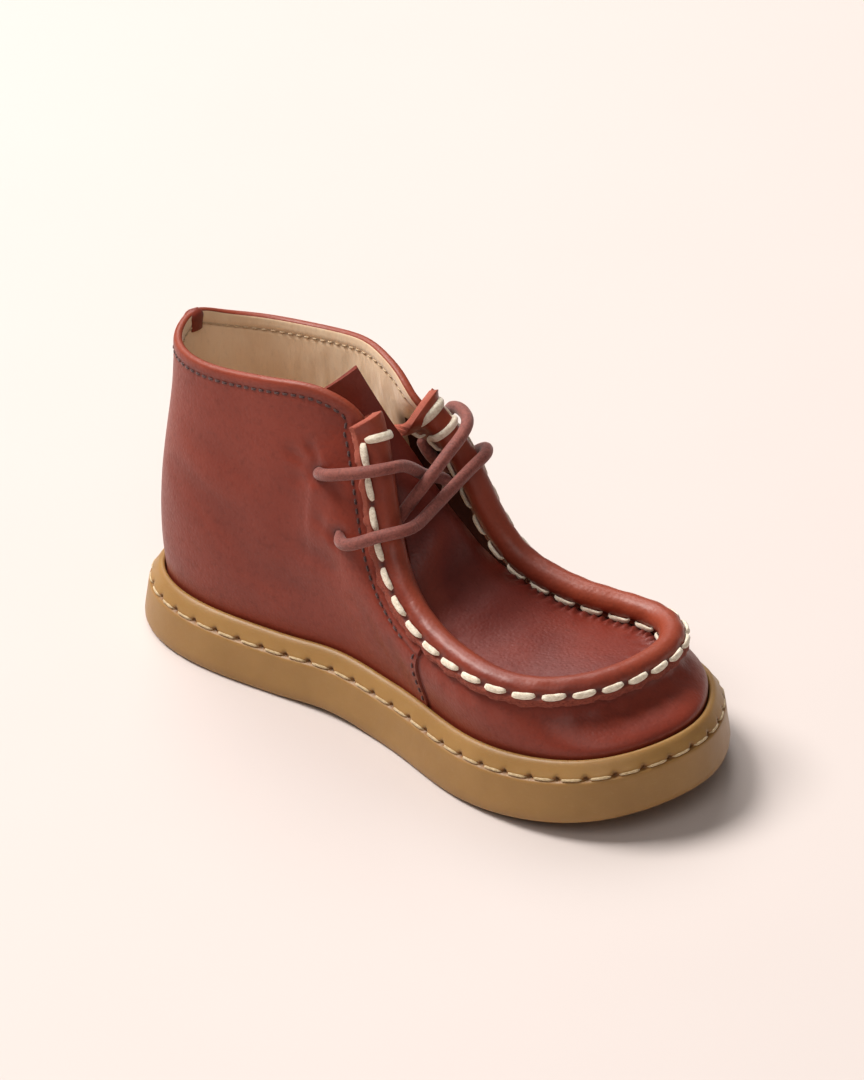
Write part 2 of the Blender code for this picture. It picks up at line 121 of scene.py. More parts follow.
# Ribs of the upper are evened below the facings' corners: passes, ranges of the distance under
# the rim and the height over the lip in which that sets in, and the range of the distance from
# the corner in which it fades.
CORNER_EASING = 60
SOFT_UNDER_RIM, SOFT_OVER_LIP, HARD_FROM_CORNER = (3.0, 11.0), (0.5, 8.0), (12.0, 24.0)
# They are spread at the heel: how far to either side, and the ranges of the distance under the
# rim and of the height in which that sets in.
HEEL_SPREAD = 15.0
SPREAD_UNDER_RIM, SPREAD_OVER_FLOOR = (2.0, 12.0), (10.0, 16.0)
STRIP_HALF_WIDTH = 2.9
STRIP_TOE_HALF_HEIGHT, STRIP_FACING_HALF_HEIGHT = 3.1, 3.7
STRIP_FLARE, STRIP_FLARE_LENGTH = 1.4, 9.0
STRIP_LEATHER = 1.5
APRON_LEATHER, APRON_GAP, APRON_DROP, APRON_CROWN = 1.6, 0.5, 2.0, 2.4
# Edges of the tongue from the throat up: columns lateral x, y, z, medial x, y, z, crown.
TONGUE_EDGES = np.array((
    (55.4, 9.0, 35.8, 53.0, -10.4, 38.8, 4.0),
    (49.8, 6.2, 43.8, 47.2, -7.6, 45.9, 3.4),
    (44.0, 4.4, 52.4, 38.4, -9.8, 53.0, 3.2),
    (39.6, 1.4, 60.6, 30.0, -11.4, 58.2, 3.0),
    (36.4, -1.6, 68.2, 24.0, -11.0, 61.6, 2.6),
    (33.9, -4.2, 74.8, 21.4, -10.8, 64.8, 2.2),
))

# ---------------------------------------------------------------- lace
LACE_RADIUS = 1.35
# Middle lines of the lace.  The crossing runs from the medial top eyelet down behind the quarter,
# over the tongue between the lower eyelets and up behind the lateral quarter.
CROSSING_ROUTE = (
    (34.2, -14.9, 54.6), (35.3, -14.4, 52.4), (37.2, -14.7, 49.2), (39.1, -15.4, 46.2),
    (40.6, -16.8, 43.9), (41.2, -19.2, 42.7), (45.2, -21.7, 43.8), (48.9, -20.8, 45.6),
    (52.0, -19.1, 47.2), (55.4, -15.9, 48.2), (55.8, -11.4, 47.8), (55.1, -6.0, 48.5),
    (54.7, -1.0, 49.6), (54.5, 5.0, 51.3), (54.4, 10.0, 52.7), (54.4, 13.8, 53.6),
    (52.1, 17.0, 53.0), (48.6, 19.0, 50.5), (45.2, 20.8, 47.4), (41.5, 18.9, 43.8),
    (40.6, 16.6, 44.8), (39.0, 15.0, 46.8), (37.2, 14.4, 49.2), (36.0, 14.6, 51.2),
)
# The tails come out of the top eyelets, cross the throat and are tucked in.
MEDIAL_TAIL_ROUTE = (
    (33.4, -15.4, 54.5), (34.0, -17.3, 55.2), (38.0, -19.1, 57.0), (41.0, -18.3, 57.9),
    (43.9, -17.1, 58.6), (47.5, -15.0, 59.6), (49.8, -12.1, 59.9), (50.0, -8.6, 59.0),
    (49.8, -5.0, 56.6), (49.4, -1.5, 53.7), (49.3, 2.0, 51.5), (49.2, 5.0, 50.0),
    (48.9, 7.6, 47.9), (48.0, 9.2, 45.2), (46.6, 10.0, 42.4),
)
LATERAL_TAIL_ROUTE = (
    (35.7, 15.9, 51.0), (36.0, 17.8, 51.9), (39.8, 19.2, 56.8), (43.0, 16.9, 59.9),
    (47.2, 14.7, 61.5), (51.2, 11.7, 61.5), (53.0, 7.3, 60.4), (53.2, 2.3, 58.2),
    (52.8, -2.2, 55.2), (51.8, -6.0, 51.8), (50.5, -8.7, 48.5), (49.1, -9.7, 45.6),
    (47.3, -10.7, 43.2),
)
# Middles of the eyelets: the medial top and low one, the lateral top and low one.
EYELETS = (
    (33.7, -16.3, 54.8), (41.0, -18.4, 43.1), (35.9, 17.0, 51.6), (41.9, 19.0, 44.3),
)
EYELET_RADIUS = 1.5
# Faces farther than this from an eyelet's middle belong to the other side of the shoe.
EYELET_REACH = 6.0

# ---------------------------------------------------------------- seams, creases, tread
# Main stitches of the strip: visible length, pitch, height over the strip's raw edge, half sizes,
# and how far they stand proud.
STITCH_LENGTH, STITCH_PITCH, STITCH_RISE = 5.2, 6.5, 2.4
STITCH_HALF_WIDTH, STITCH_HALF_HEIGHT, STITCH_PROUD = 0.74, 0.42, 0.34
# How far a stitch of the outer and of the inner row leans, from its middle to its end.
OUTER_SLANT, INNER_SLANT = -0.16, 0.12
# The strip's raw edges are cut at a slant: height of the cut, and its points as the way in from
# the outer face and the share of the height.
BEVEL_HEIGHT = 1.35
BEVEL = ((0.06, 0.78), (0.18, 0.52), (0.36, 0.28), (0.62, 0.08), (0.95, 0.0))
# At its lateral end the strip's leg towards the throat is longer and stands open by these.
END_FLAP, END_OPEN = 3.0, 3.2
# The ends are cut back along the edge, as how far and over which length that fades: at the lateral
# end the outer face, a slant across the fold, and the leg, which reaches past the fold instead; at
# the medial end the outer face, which reaches past too.
LATERAL_CUT, LATERAL_SLANT, LEG_CUT = (1.5, 6.0), (0.35, 9.0), (-3.6, 12.0)
MEDIAL_CUT = (-0.6, 4.0)
# Drop under the fold's shoulder at which the leg stands open in full.
OPEN_LEG = 6.0
# Its ends curl outwards: height and length of the curl at the lateral and at the medial end.
LATERAL_CURL, MEDIAL_CURL = (1.0, 4.5), (0.35, 4.0)
# Stitches mark the strip from here on, as ranges from its lateral and its medial end.
STITCHED_FROM_LATERAL, STITCHED_FROM_MEDIAL = (10.0, 14.0), (5.0, 9.0)
# Groove drawn in by the stitches, as depth, rise over the raw edge and width; its mean share and
# how much less it is at a stitch's middle; and the faint second groove that waves over it.
STRIP_PULL, PULL_MEAN, PULL_WAVE = (0.34, STITCH_RISE, 1.1), 0.55, 0.45
SECOND_GROOVE = (0.07, 4.4, 1.3)
# Thick lip over the raw edge: place, width, height, what the stitches add, and how far they draw
# it down.
LIP_PLACE, LIP_WIDTH, LIP_PROUD, LIP_STITCHED, LIP_DRAWN = 0.5, 0.9, 0.26, 0.16, 0.20
# Painted shade on the strip, as strength, rise and width: in the stitch holes and the groove; and
# lighter places from wear and a painted highlight, on the crown of the fold and on the cut edge;
# and how wide a hole is along the row.
HOLE_SHADE, GROOVE_SHADE = (0.9, STITCH_RISE, 0.6), (0.28, STITCH_RISE, 1.3)
CROWN_RUB_AND_HIGHLIGHT, EDGE_RUB_AND_HIGHLIGHT, HOLE_SHARE = (0.55, 0.0, 1.4), (0.5, 1.3, 0.35), 0.09
# Painted shade inside the fold: how dark it is, the ranges from the lateral and the medial end in
# which that sets in, and those in which its flesh side stops being pale.
FOLD_DARK, DARK_FROM_LATERAL, DARK_FROM_MEDIAL = 0.9, (0.4, 4.5), (3.0, 10.0)
PALE_FROM_LATERAL, PALE_FROM_MEDIAL = (1.0, 5.0), (10.0, 38.0)
# Swelling of the apron between the lacing and the toe, most of it on the lateral half: height, x
# of its crest, length, and the range of x in which it sets in.
APRON_SWELL, SWELL_CREST, SWELL_LENGTH, SWELL_START = 1.8, 66.0, 8.0, (55.5, 60.0)
# Pitch of the apron's ripples where the strip takes it in, and the rounding of its edges.
GATHER_PITCH, APRON_EDGE_ROUND = 2.1, 0.35
# Relief there by the distance from the apron's border, as height, place and width: the ripples,
# the swelling under them, and the waves of the strip's stitches.
GATHER_RIPPLES, GATHER_SWELL, GATHER_WAVES = (0.36, 1.3, 1.4), (0.6, 1.0, 1.6), (0.12, 3.2, 2.0)
# Painted shade in the same way: between the ripples, and along the border.
RIPPLE_SHADE, BORDER_SHADE = (0.85, 0.0, 1.9), (0.5, 0.0, 0.9)
# Rows of the apron's grid, before and after the throat, over which all of that fades.
GATHER_FADE = (-12, 6)
# The side seams meet the upper's edge at this x.
SEAM_TOP_X = 69.0
# Depth of the fine stitch line under the rim, along the collar and along the facings.
COLLAR_LINE, FACING_LINE = 3.0, 5.3
# Patch of the inner face behind each facing, painted almost black as shade: depth under the rim
# and width.
SHADED_PATCH_TOP, SHADED_PATCH_WIDTH = 14.0, 4.0
# Above that patch the lining runs on into the throat by this.  Painted shade darkens it towards
# the patch: from where to where beside it, from how far above it, and how much.
LINING_PAST_FACING = 3.0
PATCH_SHADE_START, PATCH_SHADE_END, PATCH_SHADE_ABOVE, PATCH_SHADE = 4.5, 0.4, 5.0, 0.95
# The quarters lie over the vamp: the step at the side seams, and how far behind them it fades.
QUARTER_STEP, QUARTER_STEP_LENGTH = 0.5, 12.0
# Ridges and grooves of the upper, as height, place and width: at the fine stitch line, behind the
# side seams, round the eyelets, under the strip's toe stitches, and on the lining at its seam.
LINE_RIDGES = ((-0.22, 0.0, 0.42), (0.16, -1.5, 1.0))
SEAM_GROOVE = (-0.16, 1.25, 0.45)
EYELET_RIDGES = ((0.22, 3.4, 1.3), (-0.35, 0.0, 2.4))
TOE_PUCKER = (0.11, 5.4, 2.6)
LINING_RIDGES = ((0.20, 3.3, 0.35), (-0.12, 2.2, 0.8))
# Painted shade in the same way, as strength, place and width; the last, at the rim, is lighter
# from wear and a painted highlight.
LINE_SHADE = (0.45, 0.0, 0.35)
SEAM_SHADE = (0.75, 0.25, 0.35)
EYELET_SHADE, EYELET_SHADE_INSIDE = (0.7, EYELET_RADIUS, 0.7), (1.0, 0.0, 2.6)
LINING_SHADE = (0.6, 3.3, 0.25)
RIM_RUB_AND_HIGHLIGHT = (0.5, 0.7, 0.8)
# Ranges in which the bulges set in under the rim and over the lip, and the folds over the lip.
BULGE_UNDER_RIM, BULGE_OVER_LIP, CREASE_OVER_LIP = (4.0, 9.0), (0.0, 5.0), (0.0, 4.0)
# Painted shade in the folds' troughs: this share of their depth, less this, and no further than
# this.
FOLD_SHADE, FOLD_SHADE_LESS, FOLD_SHADE_MOST = 0.9, 0.06, 0.2
# Upright wrinkles of the lining: how noise is stretched for them, its depth and size, and the
# range under the rim over which they set in.  Softer bumps lie under them.
LINING_STRETCH, WRINKLES = np.array([1.0, 1.0, 0.28]), ((0.16, 1.9),)
LINING_BUMPS, WRINKLES_UNDER_RIM = ((0.14, 8.0),), (3.6, 7.0)
# Unevenness, as depth and size of the bumps.
UPPER_UNEVEN = ((0.13, 21.0), (0.04, 7.5))
STRIP_UNEVEN = ((0.16, 9.0), (0.05, 2.5))
STRIP_FRAY = ((0.16, 1.3), (0.10, 0.5))
SOLE_UNEVEN = ((0.10, 17.0), (0.03, 3.0))
# Fine stitches: pitch, points along one, distance of their line from a seam, and as length, half
# width, half height and how far they stand proud on the collar, in the lining and at the heel.
FINE_PITCH, FINE_STEPS, FINE_BESIDE_SEAM = 2.05, 5, 1.25
FINE_STITCH = (1.55, 0.26, 0.2, 0.16)
LINING_STITCH = (1.5, 0.22, 0.18, 0.1)
HEEL_STITCH = (1.5, 0.25, 0.2, 0.15)
# Roll over the back seam: depths of its ends inside and outside and where it turns over the
# collar, half width and height, what its crest adds to both, where the crest is, and its length.
ROLL_INSIDE, ROLL_OUTSIDE, ROLL_TURN = 4.5, 58.0, 0.9
ROLL_WIDTH, ROLL_HEIGHT, ROLL_CREST = 1.75, 0.5, 0.35
ROLL_CREST_PLACE, ROLL_CREST_LENGTH = 4.6, 2.0
# Stitch lines to either side of it: how far off, and depths of their ends.
HEEL_LINE_OFF, HEEL_LINE_START, HEEL_LINE_END = 2.5, 1.6, 55.5
# Soft folds: how many half widths the ridge lies beside the trough, and for the upper and the
# apron the shares that soft_folds takes.
FOLD_RIDGE_OFF = 1.8
CREASE_SHARES, APRON_CREASE_SHARES = (0.35, 0.3, 0.3, 0.45), (0.3, 0.32, 0.25, 0.4)
# Folds of the upper, as they lie seen from the side: columns side (1 lateral, -1 medial), x, z of
# one end, x, z of the other, half width, depth.
CREASES = (
    (-1, 29.5, 60.5, 33.2, 57.0, 1.3, 0.40), (-1, 25.0, 57.5, 32.0, 55.3, 1.5, 0.35),
    (-1, 27.0, 52.0, 33.0, 53.6, 1.6, 0.30), (-1, 37.4, 53.6, 40.4, 50.8, 1.2, 0.22),
    (-1, 34.0, 45.5, 40.0, 43.4, 1.6, 0.30), (-1, 30.0, 38.0, 41.0, 36.0, 2.6, 0.35),
    (-1, -8.0, 44.0, 14.0, 36.0, 4.2, 0.34), (-1, -4.0, 54.0, 19.0, 49.0, 3.8, 0.20),
    (-1, 12.0, 30.0, 33.0, 26.0, 4.0, 0.26), (-1, 47.0, 33.0, 55.0, 20.0, 2.8, 0.25),
    (-1, 58.0, 27.0, 61.0, 17.0, 2.2, 0.20),
    (1, 30.5, 58.0, 35.0, 54.6, 1.3, 0.38), (1, 25.0, 54.0, 33.5, 52.2, 1.6, 0.35),
    (1, 29.0, 48.0, 35.0, 50.6, 1.5, 0.25), (1, 35.0, 44.0, 41.0, 44.4, 1.5, 0.25),
    (1, -9.0, 42.0, 13.0, 35.0, 4.4, 0.55), (1, -3.0, 53.0, 18.0, 47.0, 3.8, 0.38),
    (1, 14.0, 31.0, 35.0, 27.0, 4.2, 0.40), (1, 48.0, 34.0, 56.0, 21.0, 2.8, 0.35),
    (1, 59.0, 27.0, 63.0, 17.0, 2.4, 0.20),
)
# Folds of the apron and tongue: columns x, y of one end, x, y of the other, half width, depth.
APRON_CREASES = (
    (57.0, 9.5, 60.5, -6.0, 2.6, 0.45), (63.5, 10.5, 66.0, -8.0, 3.4, 0.32),
    (52.5, 6.0, 52.0, -8.0, 2.2, 0.40), (72.0, 9.0, 76.0, -13.0, 4.6, 0.25),
    (46.0, 3.6, 43.0, -8.0, 2.4, 0.30), (84.0, 2.0, 90.0, -16.0, 5.0, 0.18),
)
# Tread: half-moon outlines in staggered rows, the width and depth of their lines, the engraved
# field's inset from the sole's edge, and the bare oval and plate at the waist.
MOON_RADIUS, MOON_SPLIT, MOON_TURN = 4.7, 1.5, math.radians(58.0)
MOON_START, MOON_ROW_PITCH, MOON_PITCH, MOON_OFF = -21.0, 11.6, 13.0, 0.9
TREAD_LINE, TREAD_DEPTH = 0.34, 0.38
TREAD_INSET = 3.3
OVAL_CENTRE, OVAL_HALF = (28.0, 1.0), (3.2, 4.6)
PLATE_CENTRE, PLATE_HALF = (39.5, 1.0), (4.2, 12.5)
MARK_MARGIN = 1.6
# Stitches of the sole's wall: pitch, and length, half width, half height and how far proud.
SOLE_STITCH_PITCH = 6.2
SOLE_STITCH = (4.9, 0.34, 0.30, 0.22)

# ---------------------------------------------------------------- fineness, lace and thread
UPPER_STEP = 0.68
UPPER_RISES = 64
RIM_ROWS = 8
SOLE_STATIONS = 760
STRIP_STEP = 0.3
APRON_GRID = (250, 92)
LACE_STEP, LACE_SIDES, LACE_EASING = 0.2, 40, 90
BRAID_TURNS, BRAID_PITCH, BRAID_DEPTH = 10, 1.4, 0.03
# A stitch: sides of its tube, how deep its ends sink, their share of its width, and the number,
# twist and depth of its strands.
STITCH_SIDES, STITCH_SUNK, STITCH_TAPER = 14, 0.3, 0.38
STITCH_STRANDS, STITCH_TWIST, STRAND_DEPTH = 3.0, 0.45, 0.075


def periodic_spline(points, knots, at):
    """Smooth closed curve through points; knots has one more value, where the curve closes."""
    count = len(points)
    spans = np.diff(knots)
    slopes = (np.roll(points, -1, axis=0) - points) / spans[:, None]
    system = np.zeros((count, count))
    right = np.zeros_like(points)
    for i in range(count):
        system[i, i - 1] += spans[i - 1]
        system[i, i] += 2.0 * (spans[i - 1] + spans[i])
        system[i, (i + 1) % count] += spans[i]
        right[i] = 6.0 * (slopes[i] - slopes[i - 1])
    bend = np.linalg.solve(system, right)
    at = np.mod(at, knots[-1])
    span = np.clip(np.searchsorted(knots, at, side="right") - 1, 0, count - 1)
    after = (span + 1) % count
    width = spans[span][:, None]
    along = at[:, None] - knots[span][:, None]
    left = width - along
    return (bend[span] * left ** 3 + bend[after] * along ** 3) / (6.0 * width) \
        + (points[span] / width - bend[span] * width / 6.0) * left \
        + (points[after] / width - bend[after] * width / 6.0) * along


def run_along(line):
    """Distance along a line at each of its points."""
    return np.concatenate([[0.0], np.cumsum(np.linalg.norm(np.diff(line, axis=0), axis=1))])


def chord_knots(points):
    """Distances round a closed line of points, back to the first."""
    return run_along(np.vstack([points, points[:1]]))


def dot(first, second):
    """Dot products of vectors, kept as a last axis of one."""
    return np.sum(first * second, axis=-1, keepdims=True)


def unit(vectors):
    """The vectors brought to length 1."""
    vectors = np.asarray(vectors, float)
    return vectors / np.maximum(np.linalg.norm(vectors, axis=-1, keepdims=True), 1e-12)


def hermite(t, first, last, leave, arrive):
    """From first to last as t goes from 0 to 1, with the slopes leave and arrive at the ends."""
    turn = 3 * t ** 2 - 2 * t ** 3
    return (1 - turn) * first + turn * last \
        + (t ** 3 - 2 * t ** 2 + t) * leave + (t ** 3 - t ** 2) * arrive


def bell(x, width):
    """1 at x = 0, falling off smoothly over about width."""
    return np.exp(-(x / width) ** 2)


def ridges(off, *shapes):
    """Ridges, or grooves where the height is negative; a shape is height, place and width."""
    return sum(height * bell(off - place, width) for height, place, width in shapes)


def ease(x, start, end):
    """0 before start, 1 after end, smooth between."""
    t = np.clip((x - start) / (end - start), 0.0, 1.0)
    return t * t * (3.0 - 2.0 * t)


def fade(x, start, end):
    """1 before start, 0 after end, smooth between."""
    return 1.0 - ease(x, start, end)


def soft_folds(rows, u, v, waver, shares):
    """Troughs, each with a low ridge beside it, at places u, v.  Rows hold u, v of both ends, half
    width and depth.  shares are how far a trough wavers in widths, how long its even part and its
    faded ends are in lengths, and how high its ridge is in depths."""
    wander, even, faded, beside = shares
    total = np.zeros_like(u)
    for u0, v0, u1, v1, width, depth in rows:
        length = math.hypot(u1 - u0, v1 - v0)
        along = ((u - u0) * (u1 - u0) + (v - v0) * (v1 - v0)) / length
        off = ((u - u0) * (v1 - v0) - (v - v0) * (u1 - u0)) / length + wander * width * waver
        past = np.maximum(np.abs(along - length / 2.0) - even * length, 0.0)
        across = beside * bell(off - FOLD_RIDGE_OFF * width, width) - bell(off, width)
        total += depth * bell(past, faded * length) * across
    return total


NOISE_CELLS = 32
NOISE_TABLE = np.random.default_rng(7).uniform(-1.0, 1.0, (NOISE_CELLS,) * 3)


def noise(points, size):
    """Smooth noise from -1 to 1, whose bumps are about size apart."""
    scaled = np.asarray(points, float) / size
    cell = np.floor(scaled).astype(int)
    t = scaled - cell
    t = t * t * (3.0 - 2.0 * t)
    total = np.zeros(scaled.shape[:-1])
    for corner in np.ndindex(2, 2, 2):
        where = (cell + corner) % NOISE_CELLS
        weight = np.prod(np.where(corner, t, 1.0 - t), axis=-1)
        total += weight * NOISE_TABLE[where[..., 0], where[..., 1], where[..., 2]]
    return total


def rough(points, layers):
    """Smooth noise in layers of depth and size."""
    return sum(depth * noise(points, size) for depth, size in layers)


def lift(x):
    """Height of the sole's underside over the floor: toe spring and a slight arch."""
    spring = np.clip((x - SPRING_START) / (SPRING_END - SPRING_START), 0.0, None)
    arch = np.clip((x - ARCH_START) / (ARCH_END - ARCH_START), 0.0, 1.0)
    return TOE_SPRING * spring ** 2 + ARCH_LIFT * np.sin(math.pi * arch) ** 2


OUTLINE_KNOTS = chord_knots(SOLE_OUTLINE)
TOE_KNOT = OUTLINE_KNOTS[TOE_POINT_ROW]


def outline(share, inset):
    """Point of the sole's outline, moved inwards; share is 0 at the heel, 1 at the toe, 2 again at
    the heel, first along the lateral side and back along the medial side."""
    share = np.mod(np.asarray(share, float), 2.0)
    rest = OUTLINE_KNOTS[-1] - TOE_KNOT
    at = np.where(share <= 1.0, share * TOE_KNOT, TOE_KNOT + (share - 1.0) * rest)
    here, ahead, behind = (
        periodic_spline(SOLE_OUTLINE, OUTLINE_KNOTS, at + step)
        for step in (0.0, SLOPE_STEP, -SLOPE_STEP)
    )
    along = unit(ahead - behind)
    inward = np.stack([along[:, 1], -along[:, 0]], axis=1)
    return here + inward * np.reshape(inset, (-1, 1))


EDGE_ROWS = np.array(
    LATERAL_EDGE + tuple((x, y, z, 2.0 - base, lean) for x, y, z, base, lean in MEDIAL_EDGE[::-1])
)
EDGE_KNOTS = chord_knots(EDGE_ROWS[:, :3])
EDGE_LENGTH = EDGE_KNOTS[-1]
EDGE_DRIFT = 2.0 * EDGE_KNOTS[:-1] / EDGE_LENGTH
LATERAL_FACING = EDGE_KNOTS[FACING_ROW]
MEDIAL_FACING = EDGE_KNOTS[len(EDGE_ROWS) - FACING_ROW]
LATERAL_THROAT = EDGE_KNOTS[THROAT_ROW]
MEDIAL_THROAT = EDGE_KNOTS[len(EDGE_ROWS) - THROAT_ROW]
TOE_PLACE = 0.5 * (LATERAL_THROAT + MEDIAL_THROAT)


def to_strip_end(at):
    """Distance along the edge to the nearer end of the strip, negative on the collar."""
    return np.minimum(at - LATERAL_FACING, MEDIAL_FACING - at)


def edge(at):
    """Upper edge of the upper at distances along its rows: point, base share and lean."""
    rows = EDGE_ROWS.copy()
    rows[:, 3] -= EDGE_DRIFT
    values = periodic_spline(rows, EDGE_KNOTS, at)
    base = values[:, 3] + 2.0 * np.mod(at, EDGE_LENGTH) / EDGE_LENGTH
    return values[:, :3], base, np.clip(values[:, 4:5], 0.0, 1.0)


def edge_frames(at):
    """Point of the edge, the way into the throat, the fold way, the base share and the lean."""
    middle, base, lean = edge(at)
    along = unit(edge(at + SLOPE_STEP)[0] - edge(at - SLOPE_STEP)[0])
    side = np.tanh(middle[:, 1:2] / SIDE_BLEND)
    one = np.ones_like(side)
    towards_throat = np.hstack([LEAN_FORWARD * one, -LEAN_INWARD * side, LEAN_UP * one])
    level_inward = unit(np.cross(along, UP))
    blend = np.clip((middle[:, 0:1] - TILT_START) / (TILT_END - TILT_START), 0.0, 1.0)
    tilt = COLLAR_TILT + (TOE_TILT - COLLAR_TILT) * blend
    fold = (1.0 - lean) * (UP + tilt * level_inward) + lean * towards_throat
    fold = unit(fold - along * dot(fold, along))
    return middle, np.cross(along, fold), fold, base, lean


def edge_place(x, start, end):
    """Distance along the edge, between start and end, where the edge passes x."""
    at = np.linspace(start, end, 400)
    xs = edge(at)[0][:, 0]
    order = np.argsort(xs)
    return float(np.interp(x, xs[order], at[order]))


LATERAL_SEAM = edge_place(SEAM_TOP_X, LATERAL_THROAT, TOE_PLACE)
MEDIAL_SEAM = edge_place(SEAM_TOP_X, TOE_PLACE, MEDIAL_THROAT)
# The side seams, with the way along the edge to the toe.
SIDE_SEAMS = ((LATERAL_SEAM, 1.0), (MEDIAL_SEAM, -1.0))


# ---------------------------------------------------------------- mesh helpers
def grid_faces(rows, columns, close_rows=False, close_columns=False):
    """Quads of a grid whose point of row r and column c has the index r * columns + c."""
    row = np.arange(rows if close_rows else rows - 1)
    column = np.arange(columns if close_columns else columns - 1)
    row, column = np.meshgrid(row, column, indexing="ij")
    next_row = (row + 1) % rows
    next_column = (column + 1) % columns
    corners = (
        row * columns + column, row * columns + next_column,
        next_row * columns + next_column, next_row * columns + column,
    )
    return np.stack([corner.ravel() for corner in corners], axis=1)


def grid_normals(points, close_first):
    """Unit normals of a grid of points, across its second axis and its first."""
    if close_first:
        first = np.roll(points, -1, axis=0) - np.roll(points, 1, axis=0)
    else:
        first = np.gradient(points, axis=0)
    return unit(np.cross(np.gradient(points, axis=1), first))


def put_in_scene(name, data):
    """A new object in the scene with the given data."""
    made = bpy.data.objects.new(name, data)
    bpy.context.scene.collection.objects.link(made)
    return made


def make_piece(name, points, faces, finishes, nodes=(), finish_of_face=None, values=None):
    """Object from points in millimetres, riding on the shoe.  nodes are the solids that it stands
    for, and values are named numbers kept on its points."""
    if isinstance(faces, np.ndarray):
        faces = faces.tolist()
    mesh = bpy.data.meshes.new(name)
    mesh.from_pydata((np.asarray(points, float).reshape(-1, 3) * MM).tolist(), [], faces)
    for finish in finishes:
        mesh.materials.append(finish)
    if finish_of_face is not None:
        mesh.polygons.foreach_set("material_index", np.asarray(finish_of_face, np.int32))
    for key, numbers in (values or {}).items():
        kept = mesh.attributes.new(key, "FLOAT", "POINT")
        kept.data.foreach_set("value", np.asarray(numbers, np.float32).ravel())
    work = bmesh.new()
    work.from_mesh(mesh)
    loose = [vertex for vertex in work.verts if not vertex.link_faces]
    bmesh.ops.delete(work, geom=loose, context="VERTS")
    bmesh.ops.recalc_face_normals(work, faces=work.faces)
    work.to_mesh(mesh)
    work.free()
    mesh.shade_smooth()
    mesh.set_sharp_from_angle(angle=SHARP_ANGLE)
    made = put_in_scene(name, mesh)
    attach(made, "root")
    if nodes:
        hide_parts(*nodes)
    return made


def softer(line):
    """A line of points, each one but the first and last moved towards its neighbours."""
    soft = line.copy()
    soft[1:-1] = 0.25 * line[:-2] + 0.5 * line[1:-1] + 0.25 * line[2:]
    return soft


def smooth_route(route, spacing):
    """Points at an even spacing on a smooth curve through a route's points."""
    knots = np.array(route, float)
    ends = np.vstack([2 * knots[0] - knots[1], knots, 2 * knots[-1] - knots[-2]])
    t = np.linspace(0.0, 1.0, 24, endpoint=False)[:, None]
    dense = []
    for a, b, c, d in zip(ends[:-3], ends[1:-2], ends[2:-1], ends[3:]):
        bend = (2 * a - 5 * b + 4 * c - d) * t ** 2 + (3 * b - a - 3 * c + d) * t ** 3
        dense.append(0.5 * (2 * b + (c - a) * t + bend))
    dense = np.vstack(dense + [knots[-1:]])
    length = run_along(dense)
    at = np.linspace(0.0, length[-1], int(round(length[-1] / spacing)) + 1)
    return np.stack([np.interp(at, length, dense[:, axis]) for axis in range(3)], axis=1)


def carried_normals(line):
    """Normals along a line that turn as little as they can."""
    normal = unit(np.cross(line[1] - line[0], UP + 0.1))
    normals = []
    for tangent in unit(np.gradient(line, axis=0)):
        normal = unit(normal - tangent * np.dot(normal, tangent))
        normals.append(normal)
    return np.array(normals)


def sweep(line, normals, wide, high, sides, relief=0.0):
    """Closed tube along a line: half-axis wide across the normals and high along them."""
    tangents = unit(np.gradient(line, axis=0))
    normals = unit(normals - tangents * dot(normals, tangents))
    across = np.cross(tangents, normals)
    turn = np.linspace(0.0, 2.0 * math.pi, sides, endpoint=False)
    wide = np.broadcast_to(np.asarray(wide, float), (len(line),))[:, None]
    high = np.broadcast_to(np.asarray(high, float), (len(line),))[:, None]
    out = across[:, None] * (wide * np.cos(turn))[..., None] \
        + normals[:, None] * (high * np.sin(turn))[..., None]
    rings = line[:, None] + out + unit(out) * np.broadcast_to(relief, out.shape[:2])[..., None]
    points = np.vstack([rings.reshape(-1, 3), line[:1], line[-1:]])
    faces = grid_faces(len(line), sides, close_columns=True).tolist()
    last = (len(line) - 1) * sides
    for k in range(sides):
        after = (k + 1) % sides
        faces.append([len(points) - 2, after, k])
        faces.append([len(points) - 1, last + k, last + after])
    return points, faces


def join(parts):
    """One list of points and one of faces from several."""
    points = []
    faces = []
    start = 0
    for some_points, some_faces in parts:
        points.append(some_points)
        faces += [[start + index for index in face] for face in some_faces]
        start += len(some_points)
    return np.vstack(points), faces


def stitch(path, normals, half_width, half_height, proud):
    """One stitch of stranded thread along a short path on a surface, its ends sunk in it."""
    t = np.linspace(-1.0, 1.0, len(path))
    rise = proud * (1.0 - t ** 6) - (half_height + STITCH_SUNK) * np.abs(t) ** 9
    swell = STITCH_TAPER + (1.0 - STITCH_TAPER) * (1.0 - t ** 4)
    turn = np.linspace(0.0, 2.0 * math.pi, STITCH_SIDES, endpoint=False)
    run = (t[:, None] + 1.0) * np.linalg.norm(path[-1] - path[0]) / half_width
    strands = np.cos(STITCH_STRANDS * turn[None, :] + STITCH_TWIST * run)
    line = path + normals * rise[:, None]
    return sweep(line, normals, half_width * swell, half_height * swell, STITCH_SIDES,
                 STRAND_DEPTH * half_width * strands)


def row_of_stitches(places, at_place, length, half_width, half_height, proud, steps=13, slant=0.0):
    """Stitches centred at the given places; at_place gives points and normals at places."""
    parts = []
    for place in places:
        path, normals = at_place(place + np.linspace(-0.5, 0.5, steps) * length)
        sideways = np.cross(normals[steps // 2], path[-1] - path[0])
        sideways *= np.sign(sideways[2]) * slant / np.linalg.norm(sideways)
        path = path + np.linspace(-1.0, 1.0, steps)[:, None] * sideways
        parts.append(stitch(path, normals, half_width, half_height, proud))
    return parts


def make_stitches(name, parts, finish):
    """Piece of separate stitches, which stands for no solid."""
    points, faces = join(parts)
    make_piece(name, points, faces, [finish])


# ---------------------------------------------------------------- materials
# Fibres of the raw leather lie flat: their noise is squeezed upwards by these factors.
FIBRE_GRAIN = (1.0, 1.0, 2.4)


